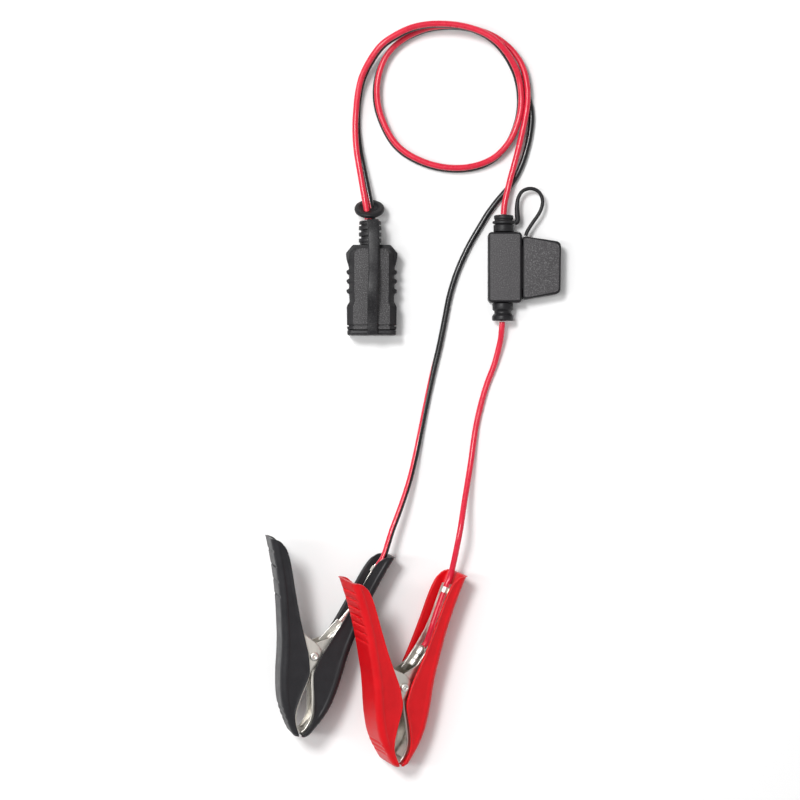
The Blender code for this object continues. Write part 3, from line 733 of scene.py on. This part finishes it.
def wire_place(colour, y):
    """Where the wire's middle lies in a fixed channel at y."""
    clear, lift = WIRE_SEATS[colour]
    reach = STEEL_BACK + STEEL_THICKNESS + clear + WIRE_RADIUS
    low, high = SEAT_RISE
    lift *= min(max((y - low) / (high - low), 0.0), 1.0)
    return Vector((between(CLAMP_STATIONS, y, 1) - reach, y, lift))


def trough_route(colour):
    """Layout points of a wire along the fixed channel, from the grip's end to the crimp."""
    start, end = (Vector(p) for p in CRIMP_ENDS)
    route = [wire_place(colour, y) for y in (59.0, 54.0, 48.0, 42.0, 36.0, 30.0)]
    for beyond in (4.0, GAP + 0.4):
        route.append(end + (end - start).normalized() * beyond)
    return in_layout(clamp_matrix(colour), route)


def make_cord(name, route, mat):
    """A free conductor, with its real length read off its route."""
    path = smooth_path(route, CORD_SPACING)
    cord = piece(swept(name, path, lambda share: WIRE_RADIUS, mat), LEAD, name)
    return cord


def add_tracer(cord):
    """Marks where the conductor's red tracer shows, on its left."""
    stripe = cord.data.attributes.new("stripe", "FLOAT", "POINT")
    for vertex, value in zip(cord.data.vertices, stripe.data):
        x, y, _ = vertex.co / MM + ORIGIN
        stops = TRACER_TOP_STOPS if x < 0 and y > 140 else TRACER_STOPS
        value.value = -vertex.normal.x - 1.05 + 2 * between(stops, y, 1)


def twin_routes():
    """Layout points of the twin cable's red and black conductors."""
    red = [(x, y, z) for x, y, z, _ in TWIN_ROUTE]
    black = []
    for i, (x, y, z, tilt) in enumerate(TWIN_ROUTE):
        before = TWIN_ROUTE[max(i - 1, 0)]
        after = TWIN_ROUTE[min(i + 1, len(TWIN_ROUTE) - 1)]
        ahead = Vector((after[0] - before[0], after[1] - before[1])).normalized()
        lean = math.radians(tilt)
        across = TWIN_PITCH * math.sin(lean)
        black.append((x + ahead.y * across, y - ahead.x * across, z - TWIN_PITCH * math.cos(lean)))
    return red, black


def make_cords():
    red, black = twin_routes()
    make_cord("cable_red_twin", red + RED_ROUTE, MATS["red_wire"])
    black += BLACK_ROUTE + trough_route("black")
    add_tracer(make_cord("cable_black", black, MATS["black_wire"]))
    lead = LEAD_ROUTE + trough_route("red")
    make_cord("cable_red_lead", lead, MATS["red_wire"])


# ---------------------------------------------------------------- quick connector

CONNECTOR_X = -22.3
CONNECTOR_AXIS_Z = 8.5
CONNECTOR_THICKNESS = 17.0
CONNECTOR_TOP = 127.0
CONNECTOR_FOOT = 80.8
PANEL_HALF = 12.4
PANEL_DROP = 2.3
MOUTH_PANEL_HALF = 13.0
MOUTH_LENGTH = 14.0
SOCKET_HALF = (10.0, 5.0)
SOCKET_DEPTH_Y = 117.2
RELIEF_X = -23.2
RELIEF_TOP = 140.2
CAP_FOOT = 77.8
CAP_PLUG_TOP = 86.2
RING_CENTRE = (-23.6, 146.8, 8.5)
RING_TILT = math.radians(-53.0)
ALONG_Y = Matrix.Rotation(math.radians(-90), 4, "X")


def connector_half(inset, panel=0.0):
    """The right half of the connector's outline, drawn in by inset and, on its front, by panel."""
    top = CONNECTOR_TOP - CONNECTOR_FOOT
    points = [(10.3, top), (14.1, top - 4.6), (13.7, top - 8.0), (12.6, top - 11.6)]
    for middle in (31.3, 26.3, 20.9):
        points += [
            (12.4, middle + 1.3),
            (13.8, middle + 0.9),
            (13.7, middle - 0.5),
            (12.3, middle - 1.2),
        ]
    points += [(12.1, 15.2), (13.6, 12.6), (13.4, 0.9), (13.1, 0.0)]
    drawn = []
    for x, y in points:
        if panel:
            # The front panel's sides run nearly straight, a little further out round the mouth.
            x = min(x, PANEL_HALF if y > MOUTH_LENGTH else MOUTH_PANEL_HALF) - panel
            y = min(y, top - PANEL_DROP)
        drawn.append((x - inset, min(max(y, inset * 0.5), top - inset)))
    return drawn


def mirrored(half):
    """A closed outline from its right half, which runs from top to bottom."""
    return half + [(-x, y) for x, y in reversed(half)]


def make_connector_body():
    layers = [(1.2, 0.0, 0.0), (0.45, 0.0, 0.35), (0.1, 0.0, 1.0), (0.0, 0.0, 1.8)]
    layers += [(0.0, 0.0, 12.3), (0.0, 0.25, 12.8), (0.0, 2.75, 16.7), (0.12, 2.9, 16.93)]
    layers += [(0.5, 2.9, CONNECTOR_THICKNESS)]
    rings = []
    for inset, panel, z in layers:
        outline = filleted(mirrored(connector_half(inset, panel)), 0.7, 3)
        rings.append([(x, y, z) for x, y in outline])
    foot = at(CONNECTOR_X, CONNECTOR_FOOT, 0)
    body = loft("connector_body", rings, [MATS["shell"], MATS["panel"]], foot)
    socket = block(
        "socket_cutter", *SOCKET_HALF, -8.0, SOCKET_DEPTH_Y - CONNECTOR_FOOT, MATS["shell"],
        at(CONNECTOR_X, CONNECTOR_FOOT, CONNECTOR_AXIS_Z) @ ALONG_Y, corner=1.6,
    )
    # A groove round the housing, just above its mouth.
    inner = [(-11.5, 0.9), (-12.4, 2.2), (-12.4, 12.2), (-9.4, 16.0)]
    inner += [(-x, z) for x, z in reversed(inner)]
    outer = [(x * 1.4, CONNECTOR_AXIS_Z + (z - CONNECTOR_AXIS_Z) * 1.6) for x, z in inner]
    rings = [
        [(x, y, z) for x, z in outline]
        for outline, y in ((inner, 1.75), (outer, 1.6), (outer, 2.8), (inner, 2.65))
    ]
    groove = loft("groove_cutter", rings, MATS["shell"], foot, closed=True)
    cut(body, socket, groove)
    face_up(body, CONNECTOR_THICKNESS - 1.0)
    return piece(body, LEAD, "connector_body")


def make_strain_relief():
    length = RELIEF_TOP - CONNECTOR_TOP - GAP
    profile = [(5.6, 0.0), (5.6, 0.9)]
    for start in (1.1, 4.5, 7.9):
        profile += [
            (5.65, start),
            (6.1, start + 0.08),
            (6.2, start + 0.25),
            (6.2, start + 1.95),
            (6.1, start + 2.15),
            (5.2, start + 2.25),
            (4.95, start + 2.4),
            (4.95, start + 3.1),
        ]
    profile += [(5.9, length - 1.9), (6.0, length - 1.7), (6.0, length - 0.5), (5.8, length - 0.2)]
    profile += [(5.4, length), (2.6, length)]
    relief = turned(
        "connector_strain_relief", profile, MATS["rubber"],
        at(RELIEF_X, CONNECTOR_TOP + GAP, CONNECTOR_AXIS_Z) @ ALONG_Y, steps=64, squash=0.84,
    )
    return piece(relief, LEAD, "connector_strain_relief")


def make_cap():
    half_x, half_z = 13.3, 8.1
    top = CONNECTOR_FOOT - GAP
    plate = [(0.9, CAP_FOOT), (0.35, CAP_FOOT + 0.15), (0.08, CAP_FOOT + 0.45), (0.0, CAP_FOOT + 0.9)]
    plate += [(0.0, top - 0.5), (0.2, top - 0.12), (0.6, top)]
    rings = []
    for inset, y in plate:
        outline = rounded(half_x - inset, half_z - inset, 3.0 - inset)
        rings.append([(x, y, -z) for x, z in outline])
    for inset, y in ((0.4, top), (0.4, CAP_PLUG_TOP - 0.8), (0.6, CAP_PLUG_TOP - 0.3), (1.1, CAP_PLUG_TOP)):
        outline = rounded(SOCKET_HALF[0] - inset, SOCKET_HALF[1] - inset, 1.6 - inset)
        rings.append([(x, y, -z) for x, z in outline])
    cap = loft("connector_cap", rings, MATS["strap"], at(CONNECTOR_X, 0, CONNECTOR_AXIS_Z))
    return piece(cap, "connector_cap", "connector_cap")


def make_cap_ring():
    """The strap's grommet: a thick rim and a thinner web, which fits closely round both conductors."""
    middle, half_width, half_thick = 6.45, 1.75, 1.3
    rim = []
    for i in range(17):
        angle = math.radians(-150 + 300 * i / 16)
        # A rounded bar, flatter than an ellipse.
        across = math.copysign(abs(math.cos(angle)) ** 0.55, math.cos(angle))
        along = math.copysign(abs(math.sin(angle)) ** 0.7, math.sin(angle))
        rim.append((middle + half_width * across, half_thick * along))
    profile = [(0.3, -0.6), (4.5, -0.6)] + rim + [(4.5, 0.6), (0.3, 0.6)]
    ring = turned(
        "cap_ring", profile, MATS["rubber"],
        at(*RING_CENTRE) @ Matrix.Rotation(RING_TILT, 4, "X"), steps=72,
    )
    holes = []
    for name, route in zip(("red_hole", "black_hole"), twin_routes()):
        near = smooth_path(route[:4], 1.0)
        holes.append(swept(name, near, lambda share: WIRE_RADIUS + 0.1, MATS["rubber"]))
    cut(ring, *holes)
    return piece(ring, LEAD, "cap_ring")


STRAP_ROUTE = [
    (-21.6, 140.3, 16.3),
    (-21.4, 138.0, 17.1),
    (-21.2, 133.2, 18.4),
    (-21.1, 126.2, 18.9),
    (-21.1, 118.2, 19.6),
    (-21.3, 110.2, 21.6),
    (-21.6, 103.2, 22.6),
    (-21.8, 97.2, 21.9),
    (-21.8, 91.2, 20.0),
    (-21.8, 85.2, 18.8),
    (-21.8, 80.6, 18.3),
    (-21.8, 78.1, 17.6),
]


def make_strap():
    """A flat strap from the ring, over the connector's front, to the cap's front edge."""
    path = smooth_path(STRAP_ROUTE, 1.0)
    thick = 0.8
    rings = []
    for i, middle in enumerate(path):
        ahead = path[min(i + 1, len(path) - 1)] - path[max(i - 1, 0)]
        up = Vector((1, 0, 0)).cross(ahead).normalized()
        if up.z < 0:
            up.negate()
        share = i / (len(path) - 1)
        half = 3.25 - 0.5 * min(share * 2.5, 1.0)
        section = []
        for j in range(24):
            angle = 2 * math.pi * j / 24
            x = math.copysign(abs(math.cos(angle)) ** 0.3, math.cos(angle))
            z = math.copysign(abs(math.sin(angle)) ** 0.75, math.sin(angle))
            section.append((half * x, thick * z))
        rings.append([middle + Vector((x, 0, 0)) + up * z for x, z in section])
    strap = loft("cap_strap", rings, MATS["strap"], sharp=55.0)
    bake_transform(strap)
    return piece(strap, None, "cap_strap")


def make_connector():
    make_connector_body()
    make_strain_relief()
    make_cap()
    make_cap_ring()
    make_strap()


# ---------------------------------------------------------------- fuse holder

HOLDER_X = 50.4
HOLDER_Y = 114.9
HOLDER_HALF = (9.2, 19.2)
HOLDER_THICKNESS = 12.0
HOLDER_AXIS_Z = 6.3
UPPER_BOOT_X = 49.8
LOWER_BOOT_X = 49.3
FUSE_CAP_MIDDLE = (70.4, 114.7)
FUSE_CAP_FOOT = 0.7
FUSE_CAP_TOP = 11.7
TETHER_ROUTE = [
    (56.1, 139.6, 6.3),
    (57.1, 139.9, 6.3),
    (57.5, 141.2, 6.3),
    (57.2, 144.9, 6.3),
    (57.2, 149.2, 6.3),
    (57.9, 153.3, 6.3),
    (60.2, 156.8, 6.3),
    (64.2, 158.2, 6.3),
    (67.9, 157.2, 6.3),
    (70.3, 154.5, 6.3),
    (71.1, 150.7, 6.3),
    (70.3, 146.9, 6.3),
    (68.6, 143.6, 6.3),
    (66.3, 140.3, 6.3),
    (64.2, 137.2, 6.3),
    (62.6, 134.4, 6.3),
    (61.9, 132.3, 6.3),
]


def make_holder_body():
    half_x, half_y = HOLDER_HALF
    body = block(
        "fuse_holder_body", half_x, half_y, 0, HOLDER_THICKNESS,
        [MATS["holder_edge"], MATS["holder_face"]], at(HOLDER_X, HOLDER_Y, 0), 2.0, 1.2, 5,
    )
    mouth = block(
        "holder_mouth_cutter", 9.0, 12.2, -4.3, 4.3, MATS["holder_edge"],
        at(HOLDER_X + 10.6, HOLDER_Y, HOLDER_AXIS_Z), 1.0, 0.4,
    )
    pocket = block(
        "holder_pocket_cutter", 9.0, 11.2, -2.6, 2.6, MATS["holder_edge"],
        at(HOLDER_X + 2.2, HOLDER_Y, HOLDER_AXIS_Z), 0.8, 0.3,
    )
    cut(body, mouth, pocket)
    face_up(body, HOLDER_THICKNESS - 0.3, slope=0.999)
    return piece(body, LEAD, "fuse_holder_body")


def make_boots():
    half_y = HOLDER_HALF[1]
    upper = [(5.2, 0.0), (5.5, 0.15), (5.6, 0.5), (5.6, 3.3), (5.5, 3.6), (5.0, 3.9), (4.9, 4.1)]
    upper += [(5.1, 4.35), (5.9, 4.45), (6.1, 4.65), (6.1, 5.6), (5.9, 5.85), (5.2, 6.05), (4.9, 6.3)]
    upper += [(4.9, 6.75), (5.1, 7.0), (5.25, 7.15), (5.3, 7.4), (5.3, 8.5), (5.15, 8.9), (4.7, 9.1)]
    upper += [(2.2, 9.1)]
    boot = turned(
        "fuse_holder_upper_boot", upper, MATS["rubber"],
        at(UPPER_BOOT_X, HOLDER_Y + half_y + GAP, HOLDER_AXIS_Z) @ ALONG_Y, steps=64,
    )
    piece(boot, LEAD, "fuse_holder_upper_boot")
    lower = [(5.4, 0.0), (5.6, 0.15), (5.7, 0.5), (5.7, 3.2), (5.55, 3.6), (5.0, 4.0), (4.65, 4.4)]
    lower += [(4.6, 4.8), (4.6, 5.4), (4.75, 5.8), (5.4, 6.5), (5.75, 6.9), (5.85, 7.3), (5.9, 8.8)]
    lower += [(5.8, 9.2), (5.4, 9.55), (5.2, 9.6), (2.2, 9.6)]
    boot = turned(
        "fuse_holder_lower_boot", lower, MATS["rubber"],
        at(LOWER_BOOT_X, HOLDER_Y - half_y - GAP, HOLDER_AXIS_Z) @ ALONG_Y.inverted(), steps=64,
    )
    piece(boot, LEAD, "fuse_holder_lower_boot")


def make_fuse_cap():
    """A wedge-ended box, hollow round the fuse, whose skirt enters the holder's mouth."""
    outline = [(60.0, 98.2), (61.2, 97.4), (78.4, 100.3), (79.9, 101.0), (80.6, 102.4)]
    outline += [(81.0, 126.4), (80.4, 128.2), (78.7, 129.1), (61.2, 131.8), (60.0, 130.9)]
    outline = filleted(outline, 1.2, 3)
    rims = [(0.0, 1.0), (0.1, 0.55), (0.35, 0.22), (0.75, 0.05), (1.2, 0.0)]
    layers = [(FUSE_CAP_FOOT + rise, inset) for rise, inset in rims]
    layers += [(FUSE_CAP_TOP - rise, inset) for rise, inset in reversed(rims)]
    rings = []
    for z, inset in layers:
        ring = []
        for x, y in outline:
            # Draws in the sides by the inset, and the ends by no more than a tenth of their distance.
            right, up = x - FUSE_CAP_MIDDLE[0], y - FUSE_CAP_MIDDLE[1]
            across = math.copysign(min(abs(right), inset), right)
            along = math.copysign(min(abs(up) * 0.1, inset), up)
            ring.append((x - across, y - along, z))
        rings.append(ring)
    cap = loft("fuse_cap", rings, [MATS["holder_edge"], MATS["holder_face"]])
    skirt = block(
        "fuse_cap_skirt", 1.8, 11.8, -3.9, 3.9, MATS["holder_edge"],
        at(HOLDER_X + HOLDER_HALF[0] - 0.2, HOLDER_Y, HOLDER_AXIS_Z), 0.9, 0.4,
    )
    room = block(
        "fuse_cap_cutter", 7.6, 10.4, -3.1, 3.1, MATS["holder_edge"],
        at(HOLDER_X + HOLDER_HALF[0] + 1.0, HOLDER_Y, HOLDER_AXIS_Z), 0.7, 0.3,
    )
    cut(cap, skirt, operation="UNION")
    cut(cap, room)
    face_up(cap, FUSE_CAP_TOP - 0.2, slope=0.999)
    return piece(cap, "fuse_cap", "fuse_cap")


def make_tether():
    """A moulded cord from the upper boot to the fuse cap, thicker at its root."""

    def radius_at(share):
        return 1.0 + 0.45 * step(0.3 - share, 0.0, 0.25)

    path = smooth_path(TETHER_ROUTE, 0.9)
    tether = swept("fuse_cap_tether", path, radius_at, MATS["rubber"], sides=16)
    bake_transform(tether)
    return piece(tether, None, "fuse_cap_tether")


def make_fuse_holder():
    make_holder_body()
    make_boots()
    make_fuse_cap()
    make_tether()


# ---------------------------------------------------------------- clamps


def lip(edge, start, wall):
    """A round rim at a wall's edge, from its outer to its inner side, as (x, z) points."""
    sign = math.copysign(1.0, -start)
    points = []
    half = [(0.0, LIP_DEPTH), (0.14, 0.084), (0.36, 0.0)]
    for share, drop in half + [(1 - share, drop) for share, drop in reversed(half)]:
        points.append((edge + drop, start + sign * share * wall))
    return points


def shell_section(y, side, back, edge, half, wall, floor, corner, groove=0.0, bead=0.0, steps=8):
    """A U-shaped section across a clamp at y, open towards the other half, with round rims."""
    corner = min(corner, 0.8 * (back - edge))
    depth = max(back - edge - corner, 0.0)
    flank = []
    for share in (0.12, 0.35, 0.6, 0.8, 0.9, 0.96):
        x = edge + LIP_DEPTH + share * max(depth - LIP_DEPTH, 0.0)
        sunk = bead * step(back - corner - x, 0.1, 0.9)
        flank.append((x, -half + sunk))
    arc = []
    for i in range(steps + 1):
        angle = math.radians(90 * i / steps)
        arc.append((back - corner + corner * math.sin(angle), -half + corner - corner * math.cos(angle)))
    spine = [(back, (-half + corner) * k / 4) for k in (3, 2, 1)]
    near = flank + arc + spine
    outer = []
    for x, z in near + [(back, 0.0)] + [(x, -z) for x, z in reversed(near)]:
        if x > back - corner:
            x -= groove * step(half - corner * 0.35 - abs(z), 0.0, corner * 0.8)
        outer.append((x, z))
    floor = min(floor, back - edge - 0.12)
    fillet = min(max(corner - wall, 0.3), 0.8 * (back - floor - edge))
    inner = []
    for share in (0.3, 0.6, 0.9):
        x = edge + LIP_DEPTH + share * max(back - floor - fillet - edge - LIP_DEPTH, 0.0)
        inner.append((x, half - wall))
    for i in range(5):
        angle = math.radians(90 * i / 4)
        x = back - floor - fillet + fillet * math.sin(angle)
        inner.append((x, half - wall - fillet + fillet * math.cos(angle)))
    inner += [(back - floor, 0.0)] + [(x, -z) for x, z in reversed(inner)]
    first = lip(edge, half, wall)
    last = [(x, -z) for x, z in reversed(lip(edge, half, wall))]
    ring = outer + first + inner + last
    return [(side * x, y, z) for x, z in ring]


def spread_over(start, end, spacing):
    """Evenly spaced values from start to end, about spacing apart."""
    count = round((end - start) / spacing)
    return [start + (end - start) * i / count for i in range(count + 1)]


def cover_rings(side, colour):
    """Sections of a vinyl cover, with grooves across its grip and its tip."""
    rings = []
    for y in spread_over(CLAMP_STATIONS[0][0], CLAMP_STATIONS[-1][0], 0.5):
        back = eased(CLAMP_STATIONS, y, 1)
        edge = eased(CLAMP_STATIONS, y, 2)
        half = COVER_HALF - 1.2 * step(-y, 42.4, 44.0)
        groove = 0.0
        for middle in GRIP_GROOVES[colour]:
            groove = max(groove, GRIP_GROOVE_DEPTH * (1 - step(abs(y - middle), 0.25, 0.85)))
        for middle in TIP_GROOVES:
            groove = max(groove, TIP_GROOVE_DEPTH * (1 - step(abs(y - middle), 0.3, 0.9)))
        rings.append(
            shell_section(
                y, side, back, edge, half, COVER_WALL, COVER_WALL, COVER_CORNER, groove,
                bead=0.38 * step(back - edge, 5.0, 8.0),
            )
        )
    return rings


def steel_rings(side, half):
    """Sections of a pressed steel channel, which is solid at its tip."""
    rings = []
    for y in spread_over(STEEL_STATIONS[0][0], STEEL_STATIONS[-1][0], 0.5):
        back = eased(CLAMP_STATIONS, y, 1) - STEEL_BACK
        edge = eased(STEEL_STATIONS, y, 1, 1.0)
        floor = back if y < STEEL_TIP else STEEL_THICKNESS
        rings.append(shell_section(y, side, back, edge, half, STEEL_THICKNESS, floor, 1.9, steps=4))
    return rings


def spring_path():
    """The torsion spring: a coil about the pivot, with a leg to the floor of each channel."""
    start = math.radians(150)
    sweep = math.radians(360 * SPRING_TURNS - 120)
    coil = []
    for i in range(COIL_STEPS + 1):
        angle = start + sweep * i / COIL_STEPS
        height = SPRING_PITCH * SPRING_TURNS * (i / COIL_STEPS - 0.5)
        coil.append((SPRING_RADIUS * math.cos(angle), SPRING_RADIUS * math.sin(angle), height))
    left_floor = between(CLAMP_STATIONS, 21.0, 1) - STEEL_BACK - STEEL_THICKNESS - 1.2
    left = [(-left_floor, 21.0, -3.0), (-9.4, 9.0, -2.9)]
    right = [(9.0, 9.0, 3.2), (12.5, 14.0, 4.0), (left_floor, 22.0, 4.1)]
    return left + coil + right


def make_clamp(colour):
    matrix = clamp_matrix(colour)
    moving = colour + "_moving_half"
    cover_mat = MATS[colour + "_cover"]
    for half_name, side, body in (("fixed", 1, LEAD), ("moving", -1, moving)):
        name = f"{colour}_cover_{half_name}"
        cover = loft(name, cover_rings(side, colour), cover_mat, matrix, sharp=50.0)
        piece(cover, body, name)
        name = f"{colour}_jaw_{half_name}"
        jaw = loft(name, steel_rings(side, STEEL_HALF[half_name]), MATS["steel"], matrix, sharp=50.0)
        hole = turned(name + "_hole", [(EAR_HOLE, -12.0), (EAR_HOLE, 12.0)], MATS["steel"], matrix)
        cut(jaw, hole)
        if half_name == "fixed":
            cut(jaw, make_clip(colour, matrix), operation="UNION")
        piece(jaw, body, name)
    make_rivet(colour, matrix)
    spring = swept(
        colour + "_spring", smooth_path(in_layout(matrix, spring_path()), 0.8),
        lambda share: SPRING_WIRE, MATS["steel"], sides=12,
    )
    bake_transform(spring)
    piece(spring, None, colour + "_spring")
    make_crimp(colour, matrix)


def make_rivet(colour, matrix):
    """A tubular rivet with a rolled head on each side."""
    under = STEEL_HALF["moving"] + GAP
    head = [(0.8, 0.35), (0.86, 0.8), (1.1, 1.02), (1.4, 1.08), (1.8, 1.0), (2.15, 0.8), (2.35, 0.5)]
    head += [(RIVET_HEAD_RADIUS, 0.25), (RIVET_HEAD_RADIUS, 0.0), (RIVET_RADIUS, 0.0)]
    top = [(r, under + z) for r, z in head]
    bottom = [(r, -z) for r, z in reversed(top)]
    rivet = turned(
        colour + "_pivot_rivet", [(0.8, under - 0.5)] + top + bottom + [(0.8, -under + 0.5)],
        MATS["tin"], matrix, steps=40,
    )
    piece(rivet, LEAD, colour + "_pivot_rivet")


def make_clip(colour, matrix):
    """A loop on the channel's floor that holds the wire near the grip's end."""
    middle = wire_place(colour, CLIP_Y)
    way = wire_place(colour, CLIP_Y + 2) - wire_place(colour, CLIP_Y - 2)
    end = CLIP_HALF_LENGTH
    profile = [(CLIP_RADIUS - 0.2, -end), (CLIP_RADIUS, -end + 0.2), (CLIP_RADIUS, end - 0.2)]
    profile += [(CLIP_RADIUS - 0.2, end), (CLIP_HOLE, end), (CLIP_HOLE, -end)]
    place = Matrix.Translation(middle * MM) @ way.to_track_quat("Z", "Y").to_matrix().to_4x4()
    return turned(colour + "_clip", profile, MATS["steel"], matrix @ place, hollow=True)


def crimp_matrix():
    """The crimp's frame in its clamp: z along the barrel and x towards the channel's opening."""
    start, end = (Vector(p) for p in CRIMP_ENDS)
    ahead = (end - start).normalized()
    side = Vector((-ahead.y, ahead.x, 0)).normalized()
    turn = Matrix((side, ahead.cross(side), ahead)).transposed().to_4x4()
    return Matrix.Translation(start * MM) @ turn


def make_crimp(colour, matrix):
    """The barrel crimped on the wire's end, with a flat tab along it."""
    length = (Vector(CRIMP_ENDS[1]) - Vector(CRIMP_ENDS[0])).length
    waist = CRIMP_RADIUS - 0.4
    barrel = [(1.2, 0.0), (1.75, 0.0), (2.05, 0.15), (CRIMP_RADIUS, 0.5), (CRIMP_RADIUS, 3.4)]
    barrel += [(2.1, 3.8), (1.87, 4.2), (waist, 4.5), (waist, 6.5), (1.87, 6.8), (2.1, 7.2)]
    barrel += [(CRIMP_RADIUS, 7.6), (CRIMP_RADIUS, length - 0.5), (2.05, length - 0.15)]
    barrel += [(1.7, length), (1.2, length)]
    place = matrix @ crimp_matrix()
    crimp = turned(colour + "_wire_crimp", barrel, MATS["tin"], place)
    tab = block(
        colour + "_crimp_tab", 1.75, 0.4, *CRIMP_TAB_SPAN, MATS["tin"],
        place @ Matrix.Translation(Vector((3.1, 0, 0)) * MM), 0.3, 0.15,
    )
    cut(crimp, tab, operation="UNION")
    piece(crimp, LEAD, colour + "_wire_crimp")


# ---------------------------------------------------------------- inner parts and scene


def finish_inner_parts():
    """The pieces inside the housings keep their CAD shape and get finished materials."""
    finishes = {
        "contact_carrier": "carrier",
        "contact_positive": "brass",
        "contact_negative": "brass",
        "fuse_body": "fuse",
        "fuse_link": "tin",
        "fuse_terminal_upper": "tin",
        "fuse_terminal_lower": "tin",
    }
    for node, finish in finishes.items():
        mesh = frame["nodes"][node].data
        mesh.materials.clear()
        mesh.materials.append(MATS[finish])


def make_floor():
    mat = bpy.data.materials.new("floor_paper")
    mat.use_nodes = True
    shader = mat.node_tree.nodes["Principled BSDF"]
    shader.inputs["Base Color"].default_value = (0.93, 0.93, 0.93, 1.0)
    shader.inputs["Roughness"].default_value = 0.9
    shader.inputs["Specular IOR Level"].default_value = 0.1
    mesh = bpy.data.meshes.new("floor")
    reach = 4.0
    corners = [(-reach, -reach, 0), (reach, -reach, 0), (reach, reach, 0), (-reach, reach, 0)]
    mesh.from_pydata(corners, [], [(0, 1, 2, 3)])
    mesh.materials.append(mat)
    floor = bpy.data.objects.new("floor", mesh)
    bpy.context.scene.collection.objects.link(floor)


def add_light(name, place, width, depth, watts, aim=(0.0, 0.0, 0.0)):
    data = bpy.data.lights.new(name, "AREA")
    data.shape = "RECTANGLE"
    data.size = width
    data.size_y = depth
    data.energy = watts
    light = bpy.data.objects.new(name, data)
    light.location = place
    direction = Vector(aim) - Vector(place)
    light.rotation_euler = direction.to_track_quat("-Z", "Y").to_euler()
    bpy.context.scene.collection.objects.link(light)


def make_lights():
    add_light("key", (-0.48, 0.55, 1.45), 0.36, 0.36, 16.0)
    # A long light on the left draws the line of light along every wire.
    add_light("strip", (-0.72, 0.05, 1.3), 0.16, 1.7, 9.0, aim=(0.0, 0.05, 0.0))
    add_light("fill", (1.1, -0.5, 1.5), 1.4, 1.4, 2.5)
    # A bright room with a dark ceiling right above, which the dark pieces mirror.
    scene_world = bpy.data.worlds.new("studio")
    scene_world.use_nodes = True
    nodes, links = scene_world.node_tree.nodes, scene_world.node_tree.links
    background = nodes["Background"]
    background.inputs["Color"].default_value = (1.0, 1.0, 1.0, 1.0)
    coords = nodes.new("ShaderNodeTexCoord")
    height = nodes.new("ShaderNodeSeparateXYZ")
    links.new(coords.outputs["Generated"], height.inputs["Vector"])
    strength = ranged(nodes, links, height.outputs["Z"], 0.44, 0.12, 0.72, 0.96)
    links.new(strength, background.inputs["Strength"])
    bpy.context.scene.world = scene_world
    bpy.context.scene.view_settings.view_transform = "Standard"


make_cords()
make_connector()
make_fuse_holder()
for clamp_colour in CLAMP_TURNS:
    make_clamp(clamp_colour)
finish_inner_parts()
make_floor()
make_lights()
